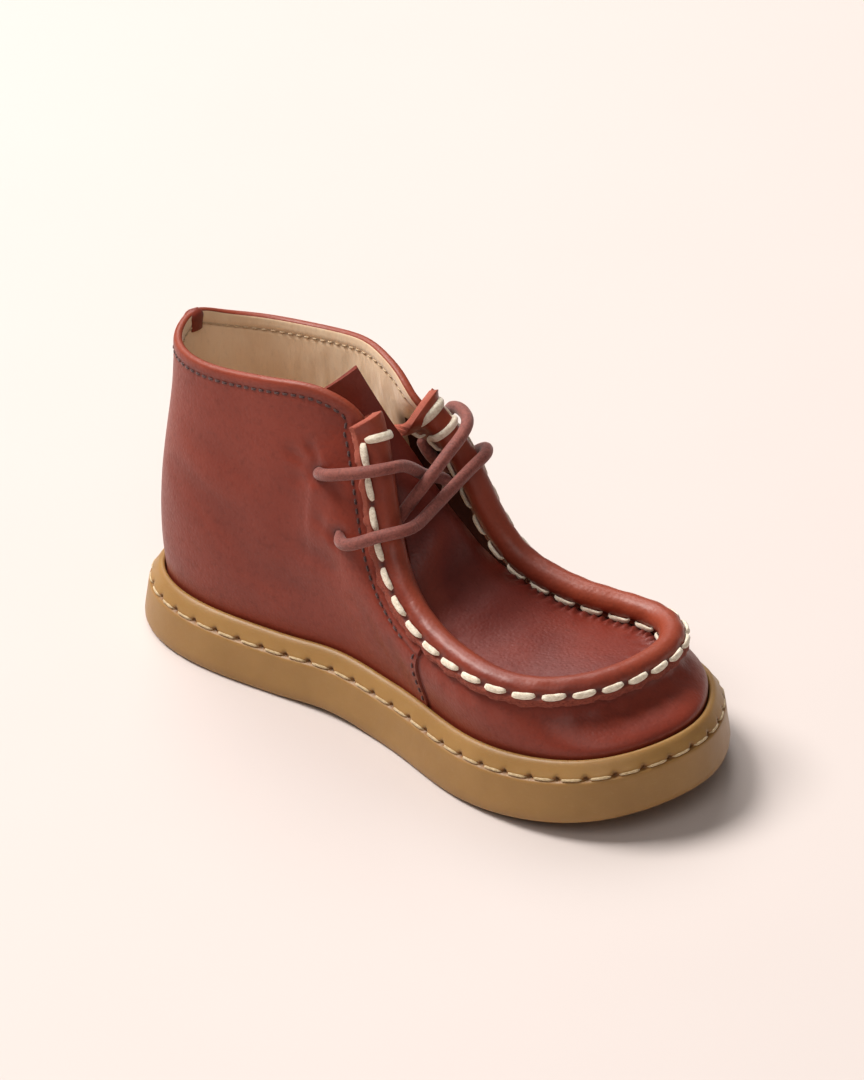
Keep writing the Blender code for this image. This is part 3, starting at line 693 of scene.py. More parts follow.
def wire(tree, socket, value):
    """Puts a number or colour on a socket, or links another socket to it."""
    if isinstance(value, bpy.types.NodeSocket):
        tree.links.new(value, socket)
    elif socket.type == "RGBA":
        socket.default_value = (*value, 1.0)
    else:
        socket.default_value = value


class Finish:
    """A node material, built by small calls that each add nodes and return an output."""

    def __init__(self, name, **values):
        self.material = bpy.data.materials.new(name)
        self.material.use_nodes = True
        self.tree = self.material.node_tree
        self.shader = self.tree.nodes["Principled BSDF"]
        self.place = self.tree.nodes.new("ShaderNodeTexCoord").outputs["Object"]
        self.set(**values)

    def set(self, **values):
        """Sets or links sockets of the shader by name, spaces written as underscores."""
        for name, value in values.items():
            wire(self.tree, self.shader.inputs[name.replace("_", " ")], value)

    def add(self, kind, inputs, **settings):
        """A new node with its inputs and settings."""
        made = self.tree.nodes.new(kind)
        for name, value in settings.items():
            setattr(made, name, value)
        for name, value in inputs.items():
            wire(self.tree, made.inputs[name], value)
        return made

    def stretched(self, scale):
        """Place scaled by a factor for each axis."""
        inputs = {"Vector": self.place, "Scale": scale}
        return self.add("ShaderNodeMapping", inputs).outputs["Vector"]

    def noise(self, size, detail=3.0, roughness=0.55, scale=None, distortion=0.0):
        """Noise around 0.5 whose blotches are about size millimetres across."""
        inputs = {
            "Vector": self.stretched(scale) if scale else self.place, "Scale": 1000.0 / size,
            "Detail": detail, "Roughness": roughness, "Distortion": distortion,
        }
        return self.add("ShaderNodeTexNoise", inputs).outputs["Fac"]

    def cells(self, size, smoothness=0.6):
        """Rounded cells about size millimetres across: 0 in their middles."""
        inputs = {"Vector": self.place, "Scale": 1000.0 / size, "Smoothness": smoothness}
        return self.add("ShaderNodeTexVoronoi", inputs, feature="SMOOTH_F1").outputs["Distance"]

    def span(self, value, low, high, to_low=0.0, to_high=1.0):
        """value from low to high brought to to_low to to_high, and held there."""
        inputs = {
            "Value": value, "From Min": low, "From Max": high,
            "To Min": to_low, "To Max": to_high,
        }
        return self.add("ShaderNodeMapRange", inputs).outputs["Result"]

    def mix(self, factor, first, second):
        """Colour from first at factor 0 to second at factor 1."""
        made = self.tree.nodes.new("ShaderNodeMix")
        made.data_type = "RGBA"
        for number, value in ((0, factor), (6, first), (7, second)):
            wire(self.tree, made.inputs[number], value)
        return made.outputs[2]

    def kept(self, name):
        """Numbers kept on the mesh's points under a name."""
        return self.add("ShaderNodeAttribute", {}, attribute_name=name).outputs["Fac"]

    def tint(self, colour, name, share, tone):
        """colour turned towards a tone, up to a share, where the numbers kept under a name are 1."""
        return self.mix(self.span(self.kept(name), 0.0, 1.0, 0.0, share), colour, tone)

    def bump(self, *layers):
        """Relief from layers of height, depth in millimetres."""
        normal = None
        for height, depth in layers:
            made = self.add("ShaderNodeBump", {"Height": height, "Distance": depth * MM})
            if normal is not None:
                wire(self.tree, made.inputs["Normal"], normal)
            normal = made.outputs["Normal"]
        self.set(Normal=normal)


def smooth_leather(name, light, dark, shine):
    """Waxed full-grain leather: pores, soft cloudiness, painted shade in its hollows, and high spots
    lighter from wear and a painted highlight.
    """
    f = Finish(name, Specular_IOR_Level=0.28, Coat_Weight=shine, Coat_Roughness=0.36)
    cloud = f.span(f.noise(26.0, 3.0), 0.34, 0.66)
    speck = f.noise(1.6, 5.0, 0.7)
    colour = f.mix(cloud, dark, light)
    colour = f.mix(f.span(speck, 0.5, 0.8, 0.0, 0.45), colour, tuple(0.45 * c for c in dark))
    # Lighter on the rim, the strip's crown and cut edge and the folds' ridges: wear and a painted
    # highlight.
    colour = f.tint(colour, "wear_and_highlight", 0.6, (0.37, 0.078, 0.034))
    # Painted shade in the hollows: grooves, seams, fold troughs and round the eyelets.
    colour = f.tint(colour, "painted_shade", 0.8, (0.035, 0.010, 0.010))
    f.set(Base_Color=colour, Roughness=f.span(speck, 0.3, 0.75, 0.37, 0.52))
    pores = f.span(f.cells(0.85), 0.1, 0.6)
    f.bump((f.noise(7.0, 3.0), 0.11), (pores, 0.035), (f.noise(0.45, 3.0, 0.7), 0.03))
    return f.material


def raw_edge(name):
    """Cut edge and flesh side of the leather: matt, fibrous, orange red, lighter from wear and a
    painted highlight, with painted shade in the fold.
    """
    f = Finish(name, Specular_IOR_Level=0.12, Sheen_Weight=0.04, Sheen_Roughness=0.6)
    fibre = f.noise(0.7, 5.0, 0.75, FIBRE_GRAIN)
    colour = f.mix(f.span(fibre, 0.35, 0.7), (0.155, 0.030, 0.020), (0.37, 0.094, 0.059))
    # Lighter from wear and a painted highlight; the flesh inside the strip paler towards its ends.
    colour = f.tint(colour, "wear_and_highlight", 0.8, (0.45, 0.124, 0.082))
    # Painted shade inside the strip's fold.
    colour = f.tint(colour, "painted_shade", 0.9, (0.05, 0.012, 0.010))
    f.set(Base_Color=colour, Roughness=f.span(fibre, 0.2, 0.8, 0.72, 0.9))
    f.bump((fibre, 0.16), (f.noise(0.25, 3.0, 0.7), 0.06))
    return f.material


def shaded_flesh(name):
    """Flesh side of the leather under the strip, coloured almost black as painted shade, quite matt.
    """
    f = Finish(name, Specular_IOR_Level=0.05)
    fibre = f.noise(0.7, 5.0, 0.75, FIBRE_GRAIN)
    f.set(Base_Color=f.mix(fibre, (0.022, 0.007, 0.005), (0.050, 0.014, 0.010)))
    f.set(Roughness=f.span(fibre, 0.2, 0.8, 0.85, 0.95))
    return f.material


def lining_leather(name, light, dark):
    """Undyed pigskin lining: warm beige, fine upright wrinkles, stained in places."""
    f = Finish(name, Specular_IOR_Level=0.3, Sheen_Weight=0.5, Sheen_Roughness=0.4)
    stain = f.span(f.noise(9.0, 5.0, 0.65), 0.36, 0.68)
    fine = f.noise(0.9, 5.0, 0.75, (1.0, 1.0, 0.3))
    colour = f.mix(stain, dark, light)
    colour = f.mix(f.span(fine, 0.52, 0.8, 0.0, 0.3), colour, tuple(0.6 * c for c in dark))
    # Painted shade at the lining's seam, round the eyelets and towards the dark patches at the
    # throat.
    colour = f.tint(colour, "painted_shade", 0.9, (0.13, 0.06, 0.028))
    f.set(Base_Color=colour, Roughness=f.span(fine, 0.3, 0.7, 0.6, 0.8))
    f.bump((f.noise(3.2, 4.0, 0.6, (1.0, 1.0, 0.25)), 0.25), (fine, 0.08))
    return f.material


def gum_rubber(name):
    """Gum rubber: slightly clouded tan that glows a little, with a painted amber glow where it is
    cut thin and painted shade in its gaps.
    """
    f = Finish(name, Specular_IOR_Level=0.34, Subsurface_Weight=0.18, Subsurface_Scale=0.0025)
    f.set(Subsurface_Radius=(1.0, 0.45, 0.15))
    cloud = f.span(f.noise(16.0, 4.0, 0.6), 0.3, 0.7)
    scuff = f.span(f.noise(1.1, 5.0, 0.8, (1.0, 1.0, 3.0)), 0.56, 0.76, 0.0, 0.3)
    colour = f.mix(cloud, (0.285, 0.152, 0.046), (0.345, 0.190, 0.062))
    colour = f.mix(scuff, colour, (0.46, 0.29, 0.14))
    # Painted amber glow, as of light through thin rubber, in the grooves and along the tread's edge.
    colour = f.tint(colour, "amber", 0.85, (0.27, 0.088, 0.012))
    # Painted shade in the gaps between the wall's stitches.
    colour = f.tint(colour, "painted_shade", 0.8, (0.075, 0.026, 0.006))
    f.set(Base_Color=colour, Roughness=f.span(scuff, 0.0, 0.3, 0.42, 0.62))
    f.bump((f.noise(5.0, 4.0), 0.10), (f.noise(0.5, 4.0, 0.7), 0.02))
    return f.material


def thread(name, light, dark, size):
    """Twisted thread, its strands a little darker between."""
    f = Finish(name, Specular_IOR_Level=0.3, Sheen_Weight=0.25, Sheen_Roughness=0.5)
    strand = f.noise(size, 4.0, 0.7, (1.0, 1.0, 2.0))
    colour = f.mix(f.span(strand, 0.35, 0.65), dark, light)
    f.set(Base_Color=colour, Roughness=f.span(strand, 0.3, 0.7, 0.62, 0.82))
    f.bump((strand, 0.05), (f.noise(size * 0.3, 3.0, 0.7), 0.03))
    return f.material


def waxed_cord(name):
    """Round braided cord, waxed: plum brown, mottled by its own fluff."""
    f = Finish(name, Specular_IOR_Level=0.4, Sheen_Weight=0.22, Sheen_Roughness=0.45)
    fluff = f.noise(0.62, 5.0, 0.72)
    patch = f.noise(4.0, 4.0, 0.65)
    colour = f.mix(f.span(fluff, 0.34, 0.66), (0.140, 0.034, 0.026), (0.290, 0.080, 0.059))
    # Painted shade between the braid's strands.
    colour = f.mix(f.span(f.kept("braid"), 0.0, 0.45, 0.22, 0.0), colour, (0.035, 0.011, 0.012))
    colour = f.mix(f.span(patch, 0.45, 0.75, 0.0, 0.45), colour, (0.34, 0.108, 0.080))
    f.set(Base_Color=colour, Roughness=f.span(patch, 0.3, 0.7, 0.58, 0.75))
    f.bump((fluff, 0.14), (f.noise(0.22, 3.0, 0.7), 0.04))
    return f.material


def make_finishes():
    """All finishes of the shoe by a short name."""
    chestnut, oxblood = (0.240, 0.036, 0.018), (0.190, 0.028, 0.015)
    return {
        "upper": smooth_leather("upper_leather", chestnut, oxblood, 0.10),
        "strip": smooth_leather("strip_leather", (0.270, 0.042, 0.017), oxblood, 0.24),
        "apron": smooth_leather("apron_leather", (0.190, 0.026, 0.014), (0.140, 0.019, 0.012), 0.05),
        "raw": raw_edge("raw_edge"),
        "shaded": shaded_flesh("shaded_flesh"),
        "lining": lining_leather("lining_leather", (1.0, 0.78, 0.55), (0.98, 0.72, 0.48)),
        "insole": lining_leather("insole_leather", (0.84, 0.62, 0.41), (0.70, 0.48, 0.29)),
        "rubber": gum_rubber("gum_rubber"),
        "cord": waxed_cord("lace_cord"),
        "sole_seam": thread("sole_thread", (0.66, 0.52, 0.32), (0.42, 0.29, 0.14), 0.8),
        "seam": thread("seam_thread", (0.93, 0.85, 0.71), (0.66, 0.55, 0.41), 0.8),
        "fine": thread("fine_thread", (0.115, 0.052, 0.048), (0.035, 0.014, 0.014), 0.5),
        "pale": thread("lining_thread", (0.72, 0.55, 0.36), (0.45, 0.30, 0.17), 0.5),
    }


# ---------------------------------------------------------------- lines of stitches
class Line:
    """A line on a face, read by the distance along it."""

    def __init__(self, at, read):
        self.length = run_along(read(at)[0])
        self.at = at
        self.read = read

    def __call__(self, distance):
        return self.read(self.place(distance))

    def place(self, distance):
        """What the line's reader takes, a place or a depth, at a distance along the line."""
        return np.interp(distance, self.length, self.at)

    def spread(self, start, end, pitch):
        """Even distances about pitch apart from start to end, end counted back from the line's."""
        stop = self.length[-1] - end
        return np.linspace(start, stop, int(round((stop - start) / pitch)) + 1)


def strip_sizes(at):
    """Half width and half height of the folded strip, which spreads open at its two ends."""
    lean = edge(at)[2][:, 0]
    high = STRIP_TOE_HALF_HEIGHT + lean * (STRIP_FACING_HALF_HEIGHT - STRIP_TOE_HALF_HEIGHT)
    most = np.where(at < TOE_PLACE, STRIP_FLARE, 0.35 * STRIP_FLARE)
    flare = most * np.clip(1.0 - to_strip_end(at) / STRIP_FLARE_LENGTH, 0.0, 1.0) ** 2
    return STRIP_HALF_WIDTH + flare, high


def strip_side(side):
    """Reader of the stitch line on one side of the strip: -1 outer, 1 towards the throat."""
    def read(at):
        middle, inward, fold, _, _ = edge_frames(at)
        half, high = strip_sizes(at)
        across = side * half + (opening(at, 2.0 * high - half - STITCH_RISE) if side > 0 else 0.0)
        points = middle + inward * across[:, None] + fold * (STITCH_RISE - high)[:, None]
        return points, inward * side
    return read


def opening(at, drop):
    """How far the strip's leg towards the throat stands open at its lateral end, by the drop
    under its shoulder."""
    return END_OPEN * fade(at - LATERAL_FACING, 2.0, 15.0) * np.clip(drop / OPEN_LEG, 0.0, 1.2)


STRIP_AT = np.linspace(LATERAL_FACING, MEDIAL_FACING, 700)
OUTER_LINE = Line(STRIP_AT, strip_side(-1))
INNER_LINE = Line(STRIP_AT, strip_side(1))
# The lateral end has two bars and short legs before its first stitch, the medial end one bar.
OUTER_STITCHES = OUTER_LINE.spread(14.4, 7.6, STITCH_PITCH)
INNER_STITCHES = INNER_LINE.spread(18.4, 8.2, STITCH_PITCH)
# Bars over the ends: place along the edge, height of the inner end, half width.
END_BARS = (
    (LATERAL_FACING + 4.0, -1.0, 1.05), (LATERAL_FACING + 8.6, -1.0, 0.85),
    (MEDIAL_FACING - 4.6, -2.4, 0.95),
)
# Legs under them: line, distance along it, length, half width, half height, how far proud.
END_LEGS = (
    (OUTER_LINE, 6.2, 3.2, 0.62, 0.45, 0.3), (OUTER_LINE, 10.9, 3.2, 0.62, 0.45, 0.3),
    (INNER_LINE, 6.2, 3.8, 0.55, 0.42, 1.2), (INNER_LINE, 10.9, 4.2, 0.55, 0.42, 0.5),
    (OUTER_LINE, OUTER_LINE.length[-1] - 6.6, 5.0, 0.82, 0.5, 0.34),
)


def phase(line, stitches, at):
    """Count of stitches at places along the edge: whole at a stitch's middle."""
    return np.interp(at, line.place(stitches), np.arange(len(stitches)))


# ---------------------------------------------------------------- upper
def upper_stations():
    """Distances along the edge: even, with a close pair at each side seam for the quarter's step."""
    even = np.arange(0.0, EDGE_LENGTH, UPPER_STEP)
    seams = np.array([LATERAL_SEAM, MEDIAL_SEAM])
    clear = np.abs(even[:, None] - seams).min(axis=1) > 0.5 * UPPER_STEP
    return np.sort(np.concatenate([even[clear], seams - 0.07, seams + 0.07]))


def fine_line(at):
    """Depth under the rim of the fine stitch line, which follows the collar and both facings."""
    at = np.mod(at, EDGE_LENGTH)
    over_lateral = ease(at, LATERAL_FACING - 4.0, LATERAL_FACING + 2.0)
    over_medial = fade(at, MEDIAL_FACING - 2.0, MEDIAL_FACING + 4.0)
    return COLLAR_LINE + (FACING_LINE - COLLAR_LINE) * over_lateral * over_medial


def run_to_last(grid):
    """Distance from each point of a grid along its station to the station's last point."""
    steps = np.linalg.norm(np.diff(grid, axis=1), axis=2)
    return np.hstack([np.cumsum(steps[:, ::-1], axis=1)[:, ::-1], np.zeros((len(grid), 1))])


class Upper:
    """Outer face of the upper as a grid of stations by rows, from the hidden margin to the rim."""

    def __init__(self):
        self.at = upper_stations()
        self.middle, self.inward, self.fold, base, _ = edge_frames(self.at)
        self.plain = self.spread_at_heel(self.softened(self.ribs(base)))
        self.normals = grid_normals(self.plain, True)
        if np.sum(self.normals[:, -2] * self.inward) > 0.0:
            self.normals = -self.normals
        self.lining = self.plain - self.normals * WALL
        self.below = run_to_last(self.plain) + RIM_ROUND
        self.quarter = ((self.at < LATERAL_SEAM) | (self.at > MEDIAL_SEAM))[:, None]
        self.from_eyelets = [
            np.linalg.norm(self.plain - np.array(eyelet), axis=2) for eyelet in EYELETS
        ]
        self.creases = self.listed_creases()
        self.skin = self.plain + self.normals * self.relief()[..., None]

    def ribs(self, base):
        """The hidden margin, the curve from the foot to the rim's straight part, and that part."""
        top = self.middle - self.inward * WALL / 2.0 - self.fold * RIM_STRAIGHT
        foot_xy = outline(base, UPPER_INSET)
        foot = np.column_stack([foot_xy, LIP_HEIGHT + lift(foot_xy[:, 0])])
        outward = unit(outline(base, 0.0) - foot_xy)
        start_way = unit(np.column_stack([outward * FOOT_FLARE, np.full(len(base), FOOT_RISE)]))
        reach = np.linalg.norm(top - foot, axis=1)[:, None, None]
        t = np.linspace(0.0, 1.0, UPPER_RISES + 1)[None, :, None]
        leave, arrive = reach * start_way[:, None], reach * self.fold[:, None]
        curve = hermite(t, foot[:, None], top[:, None], leave, arrive)
        margin = foot[:, None] - UP * np.array(MARGIN_DROPS)[None, :, None]
        rises = np.linspace(0.0, RIM_STRAIGHT - RIM_ROUND, 7)[1:]
        straight = top[:, None] + self.fold[:, None] * rises[None, :, None]
        return np.concatenate([margin, curve, straight], axis=1)

    def softened(self, grid):
        """The grid with the ribs evened out below the corners where the facings begin."""
        height = grid[..., 2] - grid[:, 2:3, 2]
        to_corner = np.minimum(np.abs(self.at - LATERAL_FACING), np.abs(self.at - MEDIAL_FACING))
        share = ease(run_to_last(grid), *SOFT_UNDER_RIM) * ease(height, *SOFT_OVER_LIP) \
            * fade(to_corner, *HARD_FROM_CORNER)[:, None]
        for _ in range(CORNER_EASING):
            beside = 0.5 * (np.roll(grid, 1, axis=0) + np.roll(grid, -1, axis=0))
            grid = grid + 0.5 * share[..., None] * (beside - grid)
        return grid

    def spread_at_heel(self, grid):
        """The grid with the ribs spread evenly round the back of the heel, where they would bunch
        half way up."""
        place = np.where(self.at > EDGE_LENGTH / 2.0, self.at - EDGE_LENGTH, self.at)
        order = np.argsort(place)
        place = place[order]
        moved = grid[order]
        first, last = np.searchsorted(place, (-HEEL_SPREAD, HEEL_SPREAD))
        span = place[last] - place[first]
        leave, arrive = (
            span * (moved[k + 1] - moved[k - 1]) / (place[k + 1] - place[k - 1])
            for k in (first, last)
        )
        t = ((place[first:last + 1] - place[first]) / span)[:, None, None]
        even = hermite(t, moved[first], moved[last], leave, arrive)
        back = grid[0, :, 2]
        share = ease(back[-1] - back, *SPREAD_UNDER_RIM) * ease(back, *SPREAD_OVER_FLOOR)
        moved[first:last + 1] += share[:, None] * (even - moved[first:last + 1])
        spread = grid.copy()
        spread[order] = moved
        return spread

    def listed_creases(self):
        """Depth of the soft folds, which are laid down as they lie seen from the side."""
        x, y, z = np.moveaxis(self.plain, 2, 0)
        waver = noise(self.plain, 5.0)
        total = np.zeros_like(x)
        for side in (-1, 1):
            rows = [row[1:] for row in CREASES if row[0] == side]
            total += ease(y * side, 1.0, 7.0) * soft_folds(rows, x, z, waver, CREASE_SHARES)
        return total

    def relief(self):
        """How far each point stands out from the plain shape."""
        at, below, quarter = self.at[:, None], self.below, self.quarter
        height = self.plain[..., 2] - lift(self.plain[..., 0]) - LIP_HEIGHT
        free = ease(below, *BULGE_UNDER_RIM) * ease(height, *BULGE_OVER_LIP)
        total = free * rough(self.plain, UPPER_UNEVEN) \
            + ease(height, *CREASE_OVER_LIP) * self.creases
        behind = np.where(at < TOE_PLACE, LATERAL_SEAM - at, at - MEDIAL_SEAM)
        total += quarter * QUARTER_STEP * np.exp(-np.maximum(behind, 0.0) / QUARTER_STEP_LENGTH)
        total += quarter * ridges(below - fine_line(at), *LINE_RIDGES)
        total += quarter * ridges(behind, SEAM_GROOVE) * ease(height, -1.0, 1.0)
        stitches = phase(OUTER_LINE, OUTER_STITCHES, at)
        on_toe = ease(at, LATERAL_THROAT, LATERAL_SEAM) * fade(at, MEDIAL_SEAM, MEDIAL_THROAT)
        total -= on_toe * np.cos(2.0 * math.pi * stitches) * ridges(below, TOE_PUCKER)
        for off in self.from_eyelets:
            total += ridges(off, *EYELET_RIDGES)
        return total

    def shade_in_hollows(self):
        """Painted shade in the skin's low places, 0 to 1."""
        at = self.at[:, None]
        dark = self.quarter * ridges(self.below - fine_line(at), LINE_SHADE)
        for seam, way in SIDE_SEAMS:
            dark = dark + ridges((at - seam) * way, SEAM_SHADE)
        dark = dark + np.clip(
            -FOLD_SHADE * self.creases - FOLD_SHADE_LESS, 0.0, FOLD_SHADE_MOST,
        )
        for off in self.from_eyelets:
            dark = dark + ridges(off, EYELET_SHADE)
        return np.clip(dark, 0.0, 1.0)

    def lining_shades(self):
        """Painted shade on the lining: along its seam, at the eyelets and towards the dark patches
        at the throat.
        """
        past = to_strip_end(self.at)[:, None]
        start, end = (-SHADED_PATCH_WIDTH - off for off in (PATCH_SHADE_START, PATCH_SHADE_END))
        beside_patch = ease(past, start, end) \
            * ease(self.below, SHADED_PATCH_TOP - PATCH_SHADE_ABOVE, SHADED_PATCH_TOP)
        at_patch = PATCH_SHADE * np.maximum(beside_patch, past > LINING_PAST_FACING)
        dark = np.maximum(ridges(self.below, LINING_SHADE), at_patch)
        for off in self.from_eyelets:
            dark = np.maximum(dark, ridges(off, EYELET_SHADE_INSIDE))
        return dark

    def read(self, at, depth, grid):
        """Values of a grid at places along the rim and depths under it."""
        at, depth = np.broadcast_arrays(np.mod(at, EDGE_LENGTH), depth)
        count = len(self.at)
        places = np.append(self.at, self.at[0] + EDGE_LENGTH)
        before = np.clip(np.searchsorted(places, at, side="right") - 1, 0, count - 1)
        found = []
        for place, deep, row in zip(at, depth, before):
            t = (place - places[row]) / (places[row + 1] - places[row])
            pair = []
            for station in (row, (row + 1) % count):
                rows = self.below[station, ::-1]
                pair.append([np.interp(deep, rows, grid[station, ::-1, k]) for k in range(3)])
            found.append((1.0 - t) * np.array(pair[0]) + t * np.array(pair[1]))
        return np.array(found)

    def face(self, at, depth, inside=False):
        """Points and outward ways of the outer or the inner face at places and depths."""
        ways = unit(self.read(at, depth, self.normals))
        if inside:
            return self.read(at, depth, self.lining), -ways
        return self.read(at, depth, self.skin), ways


def nearest(points, place):
    """Index of the grid point nearest to a place."""
    off = np.linalg.norm(points - place, axis=2)
    return np.unravel_index(np.argmin(off), off.shape)


def upper_loop(upper):
    """Closed section at each station: the skin upwards, the round rim and the lining downwards."""
    turns = np.linspace(0.0, math.pi, RIM_ROWS)[1:-1]
    centre = (upper.middle - upper.fold * RIM_ROUND)[:, None]
    rim = centre - upper.inward[:, None] * (WALL / 2.0 * np.cos(turns))[None, :, None] \
        + upper.fold[:, None] * (RIM_ROUND * np.sin(turns))[None, :, None]
    wrinkles = rough(upper.lining * LINING_STRETCH, WRINKLES) + rough(upper.lining, LINING_BUMPS)
    raised = wrinkles * ease(upper.below, *WRINKLES_UNDER_RIM) \
        + ridges(upper.below, *LINING_RIDGES)
    inner = upper.lining + upper.normals * raised[..., None]
    return np.concatenate([upper.skin, rim, inner[:, ::-1]], axis=1)


def punch_eyelet(eyelet, upper, loop, faces):
    """Brings the corners round one hole onto its circle; gives whether each face goes, and the
    faces of the hole's wall."""
    stations, columns = loop.shape[:2]
    at, row = nearest(upper.plain, np.array(eyelet))
    outward = upper.normals[at, row]
    middle = eyelet + outward * np.dot(upper.skin[at, row] - eyelet, outward)
    flat = loop - middle
    flat = flat - dot(flat, outward) * outward
    from_axis = np.linalg.norm(flat.reshape(-1, 3)[faces].mean(axis=1), axis=1)
    away = np.linalg.norm(loop.reshape(-1, 3)[faces].mean(axis=1) - middle, axis=1)
    hole = ((away < EYELET_REACH) & (from_axis < EYELET_RADIUS)).reshape(stations, columns)
    hole[:, upper.skin.shape[1] - 1:] = False
    gone = hole.copy()
    gone[:, :-1] |= hole[:, -2::-1]
    cells = set(np.flatnonzero(hole).tolist())
    border = []
    for cell in cells:
        s, k = divmod(cell, columns)
        before, after = (s - 1) % stations, (s + 1) % stations
        steps = (
            (before * columns + k, (s, k), (s, k + 1)),
            (after * columns + k, (after, k + 1), (after, k)),
            (cell - 1, (after, k), (s, k)),
            (cell + 1, (s, k + 1), (after, k + 1)),
        )
        border += [(a, b) for other, a, b in steps if other not in cells]
    for s, k in {corner for pair in border for corner in pair}:
        on_circle = middle + unit(flat[s, k]) * EYELET_RADIUS
        for spot in (k, columns - 1 - k):
            loop[s, spot] = on_circle + outward * np.dot(loop[s, spot] - middle, outward)
    walls = [
        [
            s0 * columns + k0, s1 * columns + k1,
            (s1 + 1) * columns - 1 - k1, (s0 + 1) * columns - 1 - k0,
        ]
        for (s0, k0), (s1, k1) in border
    ]
    return gone.ravel(), walls


def upper_finish_of_face(upper, columns):
    """Finish of each face: 0 the leather, 1 the lining, 2 the flesh side at the throat, in painted
    shade.
    """
    column = np.arange(columns)
    first = columns - upper.skin.shape[1] - 1
    first_deep = first + int(np.argmax(upper.below[0, ::-1] > SHADED_PATCH_TOP))
    past = np.where(column > first_deep, -SHADED_PATCH_WIDTH, LINING_PAST_FACING)
    inner = np.where(to_strip_end(upper.at)[:, None] < past, 1, 2)
    inside = (column >= first) & (column < columns - 3)
    return np.where(inside, inner, 0).ravel()


def build_upper(finishes, upper):
    """The hollow upper: chestnut leather outside, lining inside, four punched eyelets."""
    loop = upper_loop(upper)
    stations, columns = loop.shape[:2]
    faces = grid_faces(stations, columns, close_rows=True, close_columns=True)
    gone = np.zeros(len(faces), bool)
    walls = []
    for eyelet in EYELETS:
        in_hole, wall = punch_eyelet(eyelet, upper, loop, faces)
        gone |= in_hole
        walls += wall
    finish_of_face = upper_finish_of_face(upper, columns)[~gone]
    finish_of_face = np.concatenate([finish_of_face, np.zeros(len(walls))])
    on_rim = np.zeros((stations, RIM_ROWS - 2))
    # Painted shade in the skin's hollows and on the lining; none on the rim.
    painted_shade = np.concatenate([upper.shade_in_hollows(), on_rim, upper.lining_shades()[:, ::-1]], axis=1)
    # Lighter along the rim from wear and a painted highlight.
    worn = ridges(upper.below, RIM_RUB_AND_HIGHLIGHT) * (0.6 + 0.4 * noise(upper.skin, 6.0))
    wear_and_highlight = np.concatenate([worn, on_rim + 0.6, np.zeros_like(upper.below)], axis=1)
    make_piece(
        "upper_shell", loop, faces[~gone].tolist() + walls,
        [finishes["upper"], finishes["lining"], finishes["shaded"]], ("upper",),
        finish_of_face, {"painted_shade": painted_shade, "wear_and_highlight": wear_and_highlight},
    )


def fine_row(line, start, end, sizes):
    """Fine stitches along a line, with bare lengths left at its start and end."""
    return row_of_stitches(line.spread(start, end, FINE_PITCH), line, *sizes, FINE_STEPS)


def build_fine_stitches(finishes, upper):
    """Fine dark stitches along the collar, the facings and the side seams."""
    at = np.linspace(MEDIAL_SEAM + 5.0, EDGE_LENGTH + LATERAL_SEAM - 5.0, 500)
    line = Line(at, lambda at: upper.face(at, fine_line(at)))
    parts = fine_row(line, 1.0, 1.0, FINE_STITCH)
    for seam, way in SIDE_SEAMS:
        deepest = upper.below[np.argmin(np.abs(upper.at - seam)), 2]
        place = seam - way * FINE_BESIDE_SEAM
        line = Line(np.linspace(5.6, deepest, 80), lambda depth: upper.face(place, depth))
        parts += fine_row(line, 0.5, 1.0, FINE_STITCH)
    make_stitches("fine_stitches", parts, finishes["fine"])


def build_lining_stitches(finishes, upper):
    """Small pale stitches that hold the lining under the collar."""
    at = np.linspace(MEDIAL_FACING + 2.0, EDGE_LENGTH + LATERAL_FACING - 2.0, 400)
    line = Line(at, lambda at: upper.face(at, COLLAR_LINE + 0.25, inside=True))
    parts = fine_row(line, 1.0, 1.0, LINING_STITCH)
    make_stitches("lining_stitches", parts, finishes["pale"])


def build_heel_seam(finishes, upper):
    """Narrow leather roll that covers the back seam and turns over the collar."""
    inside, inside_out = upper.face(0.0, np.linspace(ROLL_INSIDE, ROLL_TURN, 10), inside=True)
    outside, outside_out = upper.face(0.0, np.linspace(ROLL_TURN, ROLL_OUTSIDE, 124)[1:])
    top = upper.middle[0] + UP * 0.15
    line = np.vstack([inside, top[None], outside])
    out = np.vstack([inside_out, UP[None], outside_out])
    for _ in range(3):
        line = softer(line)
        out[1:-1] = unit(softer(out)[1:-1])
    crest = ROLL_CREST * bell(run_along(line) - ROLL_CREST_PLACE, ROLL_CREST_LENGTH)
    wide = ROLL_WIDTH + crest + 0.08 * noise(line, 4.0)
    points, faces = sweep(line + out * 0.2, out, wide, ROLL_HEIGHT + crest, 24)
    make_piece("heel_roll", points, faces, [finishes["strip"]])
    parts = []
    for place in (-HEEL_LINE_OFF, HEEL_LINE_OFF):
        depths = np.linspace(HEEL_LINE_START, HEEL_LINE_END, 100)
        line = Line(depths, lambda depth: upper.face(place, depth))
        parts += fine_row(line, 0.4, 0.8, HEEL_STITCH)
    make_stitches("heel_stitches", parts, finishes["fine"])


# ---------------------------------------------------------------- seam strip
def fold_face(half, shoulder, first_low, last_low, on_leg, on_arc, way=1.0):
    """One face of a folded section, up one leg, over and down the other, as rows of across, up
    and the outward way.  way is -1 for the inner face, which runs back."""
    one = np.ones_like(half)
    rows = []
    for u in np.linspace(0.0, 1.0, on_leg)[:-1]:
        rows.append((-way * half, first_low + (shoulder - first_low) * u, -one, 0.0 * one))
    for turn in np.linspace(math.pi, 0.0, on_arc):
        c, s = math.cos(turn), math.sin(turn)
        rows.append((way * half * c, shoulder + half * s, c * one, way * s * one))
    for u in np.linspace(1.0, 0.0, on_leg)[1:]:
        rows.append((way * half, last_low + (shoulder - last_low) * u, one, 0.0 * one))
    return rows


